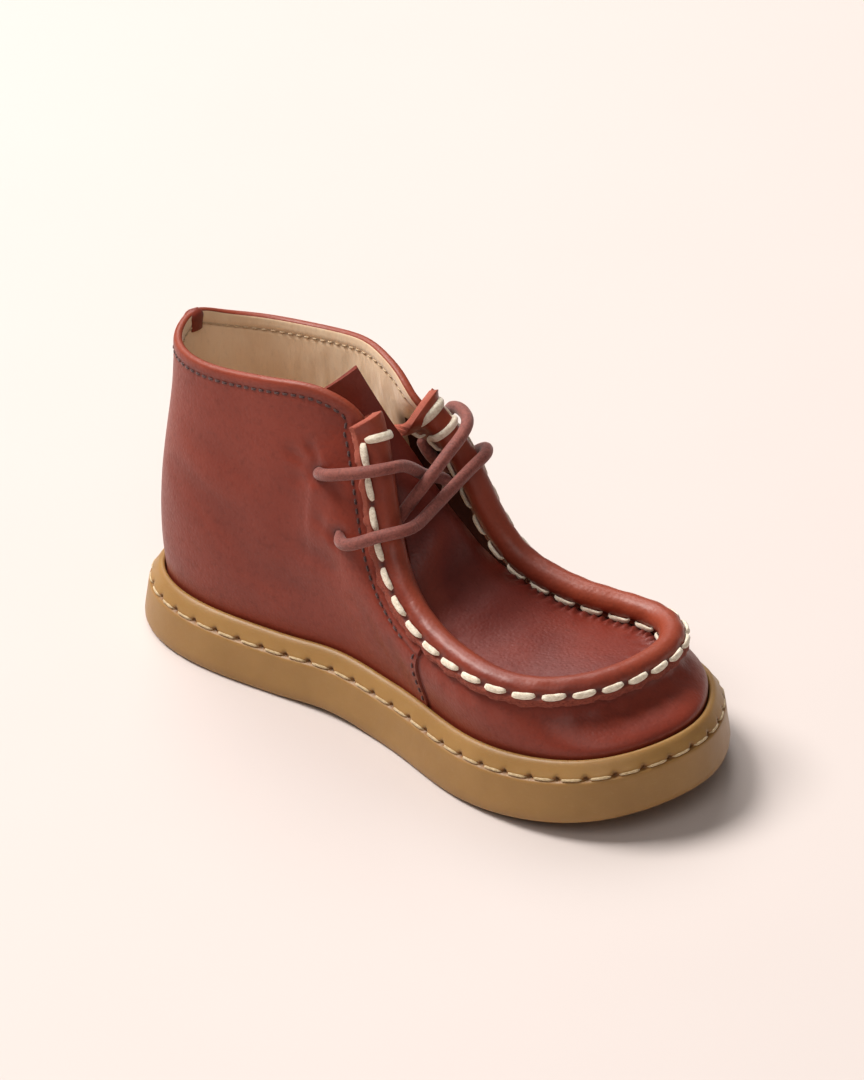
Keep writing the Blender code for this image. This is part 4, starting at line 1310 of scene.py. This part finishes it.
def strip_section(half, high, longer):
    """Section of the folded strip at each station: across, up, and the outward ways; the outer
    face comes first, then one raw edge, the inner face and the other raw edge.  The leg towards
    the throat is longer by some millimetres."""
    low = 0.1 - high
    deep = low - longer
    shoulder = high - half
    slant = 0.7 * np.ones_like(half)
    spots = fold_face(half, shoulder, low + BEVEL_HEIGHT, deep + BEVEL_HEIGHT, 9, 19)
    outer_count = len(spots)
    for off, rise in BEVEL:
        spots.append((half - off, deep + rise * BEVEL_HEIGHT, slant, -slant))
    spots += fold_face(half - STRIP_LEATHER, shoulder, deep, low, 6, 9, -1.0)
    for off, rise in BEVEL[::-1]:
        spots.append((off - half, low + rise * BEVEL_HEIGHT, -slant, -slant))
    return np.moveaxis(np.array(spots), 2, 0), outer_count


def ring_cap(start, columns, outer_count):
    """Triangles between the outer and the inner face of a folded section whose points begin at
    start."""
    outer = list(range(outer_count))
    inner = list(range(columns - 1, outer_count - 1, -1))
    faces = []
    i = j = 0
    while i < len(outer) - 1 or j < len(inner) - 1:
        if i * (len(inner) - 1) <= j * (len(outer) - 1) and i < len(outer) - 1:
            faces.append([start + outer[i], start + outer[i + 1], start + inner[j]])
            i += 1
        else:
            faces.append([start + outer[i], start + inner[j + 1], start + inner[j]])
            j += 1
    return faces


def near_end(to_end, shape):
    """An amount at an end of the strip that fades over a length; shape is the two of them."""
    amount, length = shape
    return amount * fade(to_end, 0.0, length)


class Strip:
    """Folded strip over the moccasin seam, as a grid of stations by places round its section:
    pinched by its stitches, frayed at its raw edges."""

    def __init__(self):
        self.count = int((MEDIAL_FACING - LATERAL_FACING) / STRIP_STEP)
        self.at = np.linspace(LATERAL_FACING, MEDIAL_FACING, self.count)
        self.to_lateral = (self.at - LATERAL_FACING)[:, None]
        self.to_medial = (MEDIAL_FACING - self.at)[:, None]
        half, high = strip_sizes(self.at)
        longer = END_FLAP * fade(self.to_lateral[:, 0], 3.0, 17.0)
        self.section, self.outer_count = strip_section(half, high, longer)
        self.half, self.high, self.longer = half[:, None], high[:, None], longer[:, None]
        self.face = np.arange(self.section.shape[1]) < self.outer_count
        self.lay_over_edge()
        self.rise = self.up + self.high
        self.above_cut = self.rise + np.where(self.across > 0.0, self.longer, 0.0)
        outer = phase(OUTER_LINE, OUTER_STITCHES, self.at)[:, None]
        inner = phase(INNER_LINE, INNER_STITCHES, self.at)[:, None]
        self.stitches = np.where(self.across < 0.0, outer, inner)
        self.stitched = ease(self.to_lateral, *STITCHED_FROM_LATERAL) \
            * ease(self.to_medial, *STITCHED_FROM_MEDIAL)

    def lay_over_edge(self):
        """Places the section on the upper's edge, with its ends spread, opened and cut."""
        a, b, out_a, out_b = np.moveaxis(self.section, 2, 0)
        middle, inward, fold, _, _ = edge_frames(self.at)
        shoulder = self.high - self.half
        curl = sum(
            height * np.clip(1.0 - to_end / length, 0.0, 1.0) ** 2
            for to_end, (height, length) in (
                (self.to_lateral, LATERAL_CURL), (self.to_medial, MEDIAL_CURL),
            )
        )
        outwards = self.face | (np.abs(out_b) > 0.5) & (out_b < 0.0)
        open_way = np.where(a > 0.0, opening(self.at[:, None], shoulder - b), 0.0)
        a = a + np.where(outwards, curl, -curl) * out_a + open_way
        b = b + np.where(self.face, curl * out_b, 0.0)
        down_leg = np.clip((shoulder - b) / OPEN_LEG, 0.0, 1.0) * (a > 0.0)
        cut_back = self.face * near_end(self.to_lateral, LATERAL_CUT) \
            + (a + self.half) * near_end(self.to_lateral, LATERAL_SLANT) \
            + down_leg ** 2 * near_end(self.to_lateral, LEG_CUT) \
            + self.face * near_end(self.to_medial, MEDIAL_CUT)
        along = unit(np.gradient(middle, axis=0))[:, None]
        self.across, self.up = a, b
        self.base = middle[:, None] + inward[:, None] * a[..., None] + fold[:, None] * b[..., None] \
            + along * cut_back[..., None]
        self.outward = inward[:, None] * out_a[..., None] + fold[:, None] * out_b[..., None]
        self.fold = fold[:, None]

    def points(self):
        """The strip's points: drawn in by the stitches, thicker and frayed at the raw edges."""
        wave = np.cos(2.0 * math.pi * self.stitches)
        groove = (PULL_MEAN - PULL_WAVE * wave) * ridges(self.rise, STRIP_PULL) \
            + wave * ridges(self.rise, SECOND_GROOVE)
        lip = bell(self.above_cut - LIP_PLACE, LIP_WIDTH)
        relief = lip * (LIP_PROUD + LIP_STITCHED * wave * self.stitched) \
            + rough(self.base, STRIP_UNEVEN) - groove * self.stitched
        fray = rough(self.base, STRIP_FRAY)
        out = np.where(self.face, relief, 0.0) + lip * fray
        down = lip * (LIP_DRAWN * wave * self.stitched + 1.3 * fray)
        points = self.base + self.outward * out[..., None] - self.fold * down[..., None]
        for end in (0, -1):
            points[end] = points[end] - 0.12 * unit(self.base[end] - self.base[end].mean(axis=0))
        return points

    def shades(self):
        """Painted shade round the stitch holes and in the fold; lighter from wear and a painted
        highlight.
        """
        holes = bell(self.stitches % 1.0 - 0.5, HOLE_SHARE)
        dark = self.face * self.stitched \
            * (holes * ridges(self.rise, HOLE_SHADE) + ridges(self.rise, GROOVE_SHADE))
        # Painted shade inside the fold, fading out towards its ends.
        deep = ease(self.to_lateral, *DARK_FROM_LATERAL) * ease(self.to_medial, *DARK_FROM_MEDIAL)
        dark = np.where(self.face | (self.across < -TINY), dark, FOLD_DARK * deep)
        # Lighter on the crown and the cut edge from wear and a painted highlight; flesh paler
        # towards the ends.
        worn = ridges(self.rise - 2.0 * self.high, CROWN_RUB_AND_HIGHLIGHT) + ridges(self.above_cut, EDGE_RUB_AND_HIGHLIGHT)
        worn = worn * (0.75 + 0.35 * noise(self.base, 11.0))
        pale = np.maximum(
            fade(self.to_lateral, *PALE_FROM_LATERAL), fade(self.to_medial, *PALE_FROM_MEDIAL),
        )
        worn = np.where(self.face, worn, pale)
        return {"painted_shade": np.clip(dark, 0.0, 1.0), "wear_and_highlight": np.clip(worn, 0.0, 1.0)}


def build_strip(finishes):
    """The folded strip: leather outside, raw at its edges, its ends and inside."""
    strip = Strip()
    columns = len(strip.face)
    faces = grid_faces(strip.count, columns, close_columns=True).tolist()
    caps = ring_cap(0, columns, strip.outer_count) \
        + ring_cap((strip.count - 1) * columns, columns, strip.outer_count)
    column = np.tile(np.arange(columns), strip.count - 1)
    raw = np.concatenate([column >= strip.outer_count - 1, np.ones(len(caps), bool)]).astype(int)
    make_piece(
        "moccasin_strip", strip.points(), faces + caps, [finishes["strip"], finishes["raw"]],
        ("seam_strip",), raw, strip.shades(),
    )


def bar_over_strip(place, low_outer, low_inner):
    """Thick bar of thread over the fold at one place: path and normals."""
    middle, inward, fold, _, _ = edge_frames(np.array([place]))
    (half,), (high,) = strip_sizes(np.array([place]))
    a, b, out_a, out_b = np.array(fold_face(half, high - half, low_outer, low_inner, 5, 13)).T
    a = a + np.where(a > 0.0, opening(place, high - half - b), 0.0)
    path = middle + inward * a[:, None] + fold * b[:, None]
    return path, inward * out_a[:, None] + fold * out_b[:, None]


def build_seam_stitches(finishes):
    """The thick cream stitches on both sides of the strip, and the bars and legs at its ends."""
    sizes = (STITCH_LENGTH, STITCH_HALF_WIDTH, STITCH_HALF_HEIGHT, STITCH_PROUD)
    parts = row_of_stitches(OUTER_STITCHES, OUTER_LINE, *sizes, slant=OUTER_SLANT)
    parts += row_of_stitches(INNER_STITCHES, INNER_LINE, *sizes, slant=INNER_SLANT)
    for place, low_inner, half_width in END_BARS:
        path, normals = bar_over_strip(place, -0.9, low_inner)
        parts.append(stitch(path, normals, half_width, 0.55, 0.4))
    for line, place, *sizes in END_LEGS:
        parts += row_of_stitches([place], line, *sizes)
    make_stitches("moccasin_stitches", parts, finishes["seam"])


# ---------------------------------------------------------------- apron and tongue
def smooth_rows(knots, values, at):
    """Smooth curve through rows of values at their knots, read at places."""
    slopes = np.gradient(values, knots, axis=0)
    span = np.clip(np.searchsorted(knots, at, side="right") - 1, 0, len(knots) - 2)
    width = (knots[span + 1] - knots[span])[:, None]
    t = (at - knots[span])[:, None] / width
    leave, arrive = width * slopes[span], width * slopes[span + 1]
    return hermite(t, values[span], values[span + 1], leave, arrive)


def apron_surface(rows, columns):
    """Upper face of the apron and tongue, rows from the toe up, columns lateral to medial, and
    the row where the tongue leaves the strip."""
    steps = np.linspace(0.0, 1.0, 42)[1:]
    steps = np.concatenate([[0.004, 0.012], steps])
    sides = []
    for throat in (LATERAL_THROAT, MEDIAL_THROAT):
        middle, inward, fold, _, _ = edge_frames(TOE_PLACE + (throat - TOE_PLACE) * steps)
        sides.append(middle + inward * (STRIP_HALF_WIDTH + APRON_GAP) - fold * APRON_DROP)
    apron = np.hstack([sides[0], sides[1], (APRON_CROWN * np.sqrt(steps))[:, None]])
    table = np.vstack([apron, TONGUE_EDGES])
    centre = 0.5 * (table[:, 0:3] + table[:, 3:6])
    knots = run_along(centre)
    at = np.linspace(0.0, knots[-1], rows)
    fine = smooth_rows(knots, table, at)
    across = np.linspace(0.0, 1.0, columns)[None, :, None]
    left, right, crown = fine[:, None, 0:3], fine[:, None, 3:6], fine[:, None, 6:7]
    flat = left + (right - left) * across
    along = unit(np.gradient(flat[:, columns // 2], axis=0))
    out = unit(np.cross(unit(flat[:, 0] - flat[:, -1]), along))
    out[out[:, 2] < 0.0] *= -1.0
    surface = flat + out[:, None] * crown * 4.0 * across * (1.0 - across)
    x = surface[..., 0]
    swell = APRON_SWELL * bell(x - SWELL_CREST, SWELL_LENGTH) * ease(x, *SWELL_START)
    surface[..., 2] += swell * 6.75 * across[..., 0] * (1.0 - across[..., 0]) ** 2
    return surface, int(np.searchsorted(at, knots[len(apron) - 1]))


def distance_to(line, points):
    """Distance of each point of a grid to a line of points, and its nearest place along it."""
    run = run_along(line)
    flat = points.reshape(-1, 3)
    off = np.empty(len(flat))
    place = np.empty(len(flat))
    for start in range(0, len(flat), 2000):
        some = slice(start, start + 2000)
        apart = np.linalg.norm(flat[some, None] - line[None], axis=2)
        off[some] = apart.min(axis=1)
        place[some] = run[apart.argmin(axis=1)]
    return off.reshape(points.shape[:-1]), place.reshape(points.shape[:-1])


def apron_loop(surface, top, normals):
    """Closed section at each row: the top, one rounded edge, the underside and the other edge."""
    under = surface - normals * APRON_LEATHER
    edges = []
    for column, beside in ((0, 1), (-1, -2)):
        outward = unit(surface[:, column] - surface[:, beside])
        spots = []
        for turn in np.radians([45.0, 90.0, 135.0]):
            drop = APRON_LEATHER * 0.5 * (1.0 - math.cos(turn))
            bulge = APRON_EDGE_ROUND * math.sin(turn)
            spots.append(top[:, column] - normals[:, column] * drop + outward * bulge)
        edges.append(np.stack(spots, axis=1))
    return np.concatenate([top, edges[1], under[:, ::-1], edges[0][:, ::-1]], axis=1)


def build_apron(finishes):
    """Apron over the toes that runs on as the tongue, gathered where the strip takes it in."""
    rows, columns = APRON_GRID
    surface, throat_row = apron_surface(rows, columns)
    normals = grid_normals(surface, False)
    normals[normals[..., 2] < 0.0] *= -1.0
    off, place = distance_to(
        np.vstack([surface[:throat_row][::-1, 0], surface[:throat_row, -1]]), surface,
    )
    on_strip = fade(np.arange(rows) - throat_row, *GATHER_FADE)[:, None]
    ripple = np.cos(2.0 * math.pi * place / GATHER_PITCH + 2.2 * noise(surface, 4.0))
    gather = ripple * ridges(off, GATHER_RIPPLES) + ridges(off, GATHER_SWELL) \
        + np.cos(2.0 * math.pi * place / STITCH_PITCH) * ridges(off, GATHER_WAVES)
    folds = soft_folds(
        APRON_CREASES, surface[..., 0], surface[..., 1], noise(surface, 6.0), APRON_CREASE_SHARES,
    )
    relief = on_strip * gather + ease(off, 1.0, 6.0) * 0.22 * noise(surface, 16.0) + folds
    loop = apron_loop(surface, surface + normals * relief[..., None], normals)
    wide = loop.shape[1]
    faces = grid_faces(rows, wide, close_columns=True).tolist()
    faces.append(list(range(wide)))
    faces.append([(rows - 1) * wide + k for k in range(wide)])
    column = np.tile(np.arange(wide), rows - 1)
    is_under = (column >= columns + 3) & (column < 2 * columns + 2)
    # Painted shade in the folds' troughs, between the ripples and along the border.
    dark = np.clip(-FOLD_SHADE * folds, 0.0, 0.3) \
        + on_strip * (ridges(off, RIPPLE_SHADE) * (0.62 - 0.38 * ripple) + ridges(off, BORDER_SHADE))
    # Lighter on the folds' ridges and in spots: wear and a painted highlight.
    worn = 1.2 * folds + 0.25 * noise(surface, 12.0)
    values = {
        name: np.pad(np.clip(share, 0.0, 1.0), ((0, 0), (0, wide - columns)))
        for name, share in (("painted_shade", dark), ("wear_and_highlight", worn))
    }
    make_piece(
        "apron_and_tongue", loop, faces, [finishes["apron"], finishes["lining"]],
        ("apron_tongue",), np.append(is_under, [0, 0]), values,
    )


# ---------------------------------------------------------------- sole
# Section of the sole's wall with its tread edge, stitch groove, shoulder, lip and cup, as a
# closed loop: columns inset from the outline, z.
WALL_SECTION = np.array((
    (3.20, 0.55), (2.80, 0.52), (2.52, 0.40), (2.42, 0.10), (2.30, 0.00), (1.80, 0.00),
    (1.20, 0.00), (0.75, 0.16), (0.40, 0.38), (0.20, 0.65), (0.07, 1.15), (0.00, 2.00),
    (0.13, 3.20), (0.29, 4.40), (0.46, 5.60), (0.62, 6.80), (0.78, 7.90), (0.90, 8.75),
    (0.98, 9.25), (1.14, 9.55), (1.55, 9.72), (1.78, 9.92), (1.74, 10.14), (1.50, 10.34),
    (1.56, 10.60), (1.74, 10.95), (2.08, 11.45), (2.48, 12.10), (2.88, 12.75), (3.25, 13.22),
    (3.62, 13.50), (4.00, 13.60), (4.35, 13.50), (4.60, 13.15), (4.60, 11.00), (4.60, 6.20),
    (3.25, 6.20),
))
GROOVE_INSET, GROOVE_HEIGHT = 1.62, 10.06
# Where the wall turns into the cup, and the band of heights in which it is uneven.
CUP_INSET, UNEVEN_BAND = 3.0, (1.0, 13.0)
# The scalloped shoulder and the groove, as strength, height and width; how far the shoulder stands
# out and down over a stitch, how far both go in between stitches, and how wide those gaps are.
SCALLOP, GROOVE = (1.0, 10.45, 0.42), (1.0, GROOVE_HEIGHT, 0.38)
SCALLOP_OUT, SCALLOP_DOWN, GAP_IN, GAP_SHARE = 0.20, 0.12, 0.45, 0.085
# Painted light and shade on the rubber: how much amber glow the groove and the tread's edge get,
# and how much shade the gaps between stitches.
GROOVE_AMBER, TREAD_EDGE_AMBER, GAP_SHADE = 0.8, 0.55, 0.85


def sole_line():
    """Line of the stitch groove round the sole, with ways that point out and a little up."""
    def read(share):
        ring = outline(share, GROOVE_INSET)
        outward = unit(outline(share, 0.0) - ring)
        points = np.column_stack([ring, GROOVE_HEIGHT + lift(ring[:, 0])])
        ways = unit(np.column_stack([outward, np.full(len(ring), 0.35)]))
        return points, ways
    return Line(np.linspace(0.0, 2.0, 900), read)


def build_outsole(finishes):
    """Wall of the cup sole, scalloped along its stitches, and the stitches."""
    line = sole_line()
    count = int(round(line.length[-1] / SOLE_STITCH_PITCH))
    pitch = line.length[-1] / count
    shares = np.linspace(0.0, 2.0, SOLE_STATIONS, endpoint=False)
    run = np.interp(shares, line.at, line.length) / pitch - 0.5
    on_stitch = 0.5 + 0.5 * np.cos(2.0 * math.pi * run)
    gap = bell((run % 1.0) - 0.5, GAP_SHARE)
    outward = unit(outline(shares, 0.0) - outline(shares, 1.0))
    rings = []
    amber = []
    dark = []
    for inset, height in WALL_SECTION:
        outside = inset < CUP_INSET
        scallop, pit = outside * ridges(height, SCALLOP), outside * ridges(height, GROOVE)
        bulge = scallop * on_stitch
        ring = outline(shares, inset - SCALLOP_OUT * bulge + GAP_IN * (scallop + pit) * gap)
        spots = np.column_stack([ring, height + lift(ring[:, 0]) - SCALLOP_DOWN * bulge])
        if outside and UNEVEN_BAND[0] < height < UNEVEN_BAND[1]:
            spots[:, :2] += outward * rough(spots, SOLE_UNEVEN)[:, None]
        rings.append(spots)
        # Painted amber glow in the stitch groove and along the tread's edge; painted shade in the
        # gaps.
        tread_edge = height < 0.6 and inset > 2.35
        amber.append(np.full(SOLE_STATIONS, GROOVE_AMBER * pit + TREAD_EDGE_AMBER * tread_edge))
        dark.append(np.clip(GAP_SHADE * (scallop + pit) * gap, 0.0, 0.9))
    faces = grid_faces(SOLE_STATIONS, len(WALL_SECTION), close_rows=True, close_columns=True)
    make_piece(
        "sole_wall", np.stack(rings, axis=1), faces, [finishes["rubber"]],
        ("outsole",), values={"amber": np.stack(amber, axis=1), "painted_shade": np.stack(dark, axis=1)},
    )
    places = (np.arange(count) + 0.5) * pitch
    parts = row_of_stitches(places, line, *SOLE_STITCH, 9)
    make_stitches("sole_stitches", parts, finishes["sole_seam"])


def plan_grid(inset, columns, rows):
    """Points filling the sole's outline moved inwards, columns heel to toe, rows across."""
    share = np.linspace(0.0, 1.0, 900)
    lateral = outline(share, inset)
    medial = outline(2.0 - share, inset)
    low = max(lateral[0, 0], medial[0, 0])
    high = min(lateral[-1, 0], medial[-1, 0])
    u = np.linspace(0.0, 1.0, columns)
    x = low + (high - low) * (0.55 * u + 0.45 * (1.0 - np.cos(math.pi * u)) / 2.0)
    left, right = (
        np.interp(x, np.maximum.accumulate(side[:, 0]), side[:, 1])[:, None]
        for side in (lateral, medial)
    )
    y = left + (right - left) * np.linspace(0.0, 1.0, rows)
    return np.stack([np.broadcast_to(x[:, None], y.shape), y], axis=2)


def plate_distance(x, y):
    """Distance outside the bare plate at the waist, counted square."""
    return np.maximum(
        np.abs(x - PLATE_CENTRE[0]) - PLATE_HALF[0], np.abs(y - PLATE_CENTRE[1]) - PLATE_HALF[1],
    )


def in_ovals(x, y, margin):
    """Distance from the middle of the bare oval, in half sizes of the oval with a margin."""
    return np.hypot(
        (x - OVAL_CENTRE[0]) / (OVAL_HALF[0] + margin),
        (y - OVAL_CENTRE[1]) / (OVAL_HALF[1] + margin),
    )


def clear_of_marks(x, y):
    """Whether places on the sole lie clear of the bare plate and the bare oval."""
    return (plate_distance(x, y) > MARK_MARGIN) & (in_ovals(x, y, MARK_MARGIN) > 1.0)


def tread_lines(plan):
    """Depth of the engraved lines of the tread, 0 to 1, at points of the plan."""
    x, y = plan[..., 0], plan[..., 1]
    lines = np.zeros_like(x)
    line_edge = 0.45 * TREAD_LINE, 1.35 * TREAD_LINE
    cos, sin = math.cos(MOON_TURN), math.sin(MOON_TURN)
    clear = clear_of_marks(x, y)
    for row, step, half in itertools.product(range(14), range(-3, 4), (-1.0, 1.0)):
        row_x = MOON_START + row * MOON_ROW_PITCH
        row_y = (step + 0.5 * (row % 2)) * MOON_PITCH
        body_x = row_x + half * (MOON_OFF * cos - 0.5 * MOON_RADIUS * sin)
        body_y = row_y + half * (MOON_OFF * sin + 0.5 * MOON_RADIUS * cos)
        if not clear_of_marks(body_x, body_y):
            continue
        along = (x - row_x) * cos + (y - row_y) * sin - half * MOON_OFF
        over = half * ((y - row_y) * cos - (x - row_x) * sin)
        away = np.hypot(along, over) - MOON_RADIUS
        cut = MOON_SPLIT / 2.0 - over
        flat_side = (cut > away) & (cut > -1.0)
        strength = np.where(flat_side, 0.75 * ease(along * half, -4.5, 2.5), 1.0)
        moon = strength * fade(np.abs(np.maximum(away, cut)), *line_edge)
        lines = np.maximum(lines, np.where(clear, moon, 0.0))
    oval = (in_ovals(x, y, 0.0) - 1.0) * OVAL_HALF[0]
    for mark in (plate_distance(x, y), oval):
        lines = np.maximum(lines, fade(np.abs(mark), *line_edge))
    return np.maximum(lines, 0.55 * (oval < 0.0))


def slab(top, side_drops):
    """Closed slab from a grid of points: sides that go down by the given steps, flat beneath."""
    columns, rows = top.shape[:2]
    index = np.arange(columns * rows).reshape(columns, rows)
    border = np.concatenate([
        index[:, 0], index[-1, 1:], index[-2::-1, -1], index[0, -2:0:-1],
    ])
    points = [top.reshape(-1, 3)]
    faces = grid_faces(columns, rows).tolist()
    count = len(border)
    previous = border
    start = columns * rows
    for drop in side_drops:
        points.append(top.reshape(-1, 3)[border] - UP * drop)
        ring = start + np.arange(count)
        after = np.roll(np.arange(count), -1)
        faces += np.stack([previous, previous[after], ring[after], ring], axis=1).tolist()
        previous = ring
        start += count
    faces.append(previous.tolist())
    return np.vstack(points), faces


def build_tread(finishes):
    """Underside of the sole inside its edge groove, engraved with half moons."""
    plan = plan_grid(TREAD_INSET, 400, 172)
    lines = tread_lines(plan)
    height = lift(plan[..., 0]) + TREAD_DEPTH * lines
    skin = np.concatenate([plan, height[..., None]], axis=2)
    points, faces = slab(skin, (-0.6, -(CUP_FLOOR - 0.05)))
    # Painted amber glow in the engraved lines and the bare oval, as deep as they are cut.
    amber = np.zeros(len(points))
    amber[:lines.size] = 0.9 * lines.ravel()
    make_piece(
        "sole_tread", points, faces, [finishes["rubber"]],
        values={"amber": amber},
    )


def build_insole(finishes):
    """Footbed with a softly rounded edge and the shallow print of a last."""
    plan = plan_grid(INSOLE_INSET, 190, 84)
    x, y = plan[..., 0], plan[..., 1]
    across = np.linspace(0.0, 1.0, plan.shape[1])
    width = np.linalg.norm(plan[:, 0] - plan[:, -1], axis=1)
    off = np.minimum(across, 1.0 - across)[None, :] * width[:, None]
    height = INSOLE_TOP + lift(x) - 0.5 * bell(off, 0.7) - 0.35 * bell(np.hypot(x - 2.0, y), 11.0)
    height = height + 0.10 * noise(np.stack([x, y, height], axis=2), 9.0)
    points, faces = slab(np.stack([x, y, height], axis=2), (0.5, 2.1))
    make_piece("footbed", points, faces, [finishes["insole"]], ("insole",))


# ---------------------------------------------------------------- lace
def lace(name, route, finishes, nodes):
    """One stretch of round braided lace; gives the piece and its middle line in metres."""
    line = smooth_route(route, LACE_STEP)
    for _ in range(LACE_EASING):
        line = softer(line)
    run = run_along(line)
    half_turns = 0.5 * BRAID_TURNS * np.linspace(0.0, 2.0 * math.pi, LACE_SIDES, endpoint=False)
    wind = 2.0 * math.pi * run[:, None] / BRAID_PITCH
    braid = 0.5 + 0.5 * np.cos(half_turns + wind) * np.cos(half_turns - wind)
    worn = 1.0 + 0.018 * noise(line, 4.0)
    to_end = np.clip(np.minimum(run, run[-1] - run), 0.06, LACE_RADIUS) / LACE_RADIUS
    wide = LACE_RADIUS * worn * np.sqrt(1.0 - (1.0 - to_end) ** 2)
    relief = BRAID_DEPTH * (braid - 0.6)
    points, faces = sweep(line, carried_normals(line), wide, wide, LACE_SIDES, relief)
    kept = np.concatenate([braid.ravel(), [0.5, 0.5]])
    made = make_piece(name, points, faces, [finishes["cord"]], nodes,
                      values={"braid": kept})
    return made, line * MM


def build_laces(finishes):
    """The lower crossing with its hidden runs behind the quarters, and the two tucked ends."""
    lace("lace_crossing", CROSSING_ROUTE, finishes, ("lace_bar",))
    ends = (
        ("lace_tail_medial", MEDIAL_TAIL_ROUTE, "lace_end_medial"),
        ("lace_tail_lateral", LATERAL_TAIL_ROUTE, "lace_end_lateral"),
    )
    for name, route, node in ends:
        made, path = lace(name, route, finishes, (node,))


# ---------------------------------------------------------------- camera, light, floor
VIEW_AZIMUTH, VIEW_ELEVATION = math.radians(39.0), math.radians(29.7)
VIEW_DISTANCE = 1.307
LENS, SENSOR_WIDTH, CLIP_START = 205.0, 36.0, 0.05
# Lamps: name, azimuth and elevation in degrees, distance, size, power, colour.
LAMPS = (
    ("key", -70.0, 55.0, 2.3, 1.15, 66.0, (1.0, 0.965, 0.93)),
    ("back", -125.0, 50.0, 2.2, 1.4, 22.0, (1.0, 0.98, 0.96)),
    ("front", 30.0, 50.0, 1.8, 1.2, 6.5, (1.0, 0.95, 0.9)),
)
WORLD_COLOUR, WORLD_STRENGTH = (1.0, 0.93, 0.87), 0.17
FLOOR_HALF, FLOOR_HEIGHT = 3.0, -0.00003


def towards(azimuth, elevation):
    """Way from the shoe to a place round it; azimuth 0 is on the medial side, 90 past the toe."""
    level = math.cos(elevation)
    return Vector((level * math.sin(azimuth), -level * math.cos(azimuth), math.sin(elevation)))


def aim(thing, target):
    """Turns a camera or lamp to look at the target."""
    way = Vector(target) - thing.location
    thing.rotation_euler = way.to_track_quat("-Z", "Y").to_euler()


def place_camera(middle):
    """The camera, looking at the shoe's middle from the medial side of the toe."""
    data = bpy.data.cameras.new("camera")
    data.lens = LENS
    data.sensor_fit = "AUTO"
    data.sensor_width = SENSOR_WIDTH
    data.clip_start = CLIP_START
    camera = put_in_scene("camera", data)
    camera.location = Vector(middle) + VIEW_DISTANCE * towards(VIEW_AZIMUTH, VIEW_ELEVATION)
    aim(camera, middle)
    bpy.context.scene.camera = camera


def soft_light(name, azimuth, elevation, distance, size, power, colour, target):
    """A round soft lamp that points at the target; azimuth and elevation are in degrees."""
    data = bpy.data.lights.new(name, "AREA")
    data.shape = "DISK"
    data.size = size
    data.energy = power
    data.color = colour
    light = put_in_scene(name, data)
    way = towards(math.radians(azimuth), math.radians(elevation))
    light.location = Vector(target) + distance * way
    aim(light, target)


def make_floor():
    """Cream paper floor, a hair under the sole."""
    mesh = bpy.data.meshes.new("floor")
    around = ((-1.0, -1.0), (1.0, -1.0), (1.0, 1.0), (-1.0, 1.0))
    corners = [(FLOOR_HALF * x, FLOOR_HALF * y, FLOOR_HEIGHT) for x, y in around]
    mesh.from_pydata(corners, [], [(0, 1, 2, 3)])
    f = Finish("floor_paper", Specular_IOR_Level=0.15)
    f.set(Base_Color=f.mix(f.noise(90.0, 2.0), (0.645, 0.577, 0.551), (0.665, 0.597, 0.571)))
    f.set(Roughness=0.85)
    mesh.materials.append(f.material)
    floor = put_in_scene("floor", mesh)


def make_studio(middle):
    """One broad light from behind on the left, weak fills, a dim warm world and the floor."""
    world = bpy.data.worlds.new("studio")
    world.use_nodes = True
    back = world.node_tree.nodes["Background"]
    back.inputs["Color"].default_value = (*WORLD_COLOUR, 1.0)
    back.inputs["Strength"].default_value = WORLD_STRENGTH
    bpy.context.scene.world = world
    for lamp in LAMPS:
        soft_light(*lamp, middle)
    make_floor()
    bpy.context.scene.view_settings.view_transform = "Standard"


# ---------------------------------------------------------------- all of it
def build():
    """The shoe, piece by piece, with its camera and studio."""
    low, high = (Vector(corner) for corner in cad_box)
    middle = (low + high) / 2.0
    place_camera(middle)
    finishes = make_finishes()
    build_laces(finishes)
    upper = Upper()
    for build_part in (build_upper, build_fine_stitches, build_lining_stitches, build_heel_seam):
        build_part(finishes, upper)
    for build_part in (
        build_strip, build_seam_stitches, build_apron, build_outsole, build_tread, build_insole,
    ):
        build_part(finishes)
    make_studio(middle)


build()
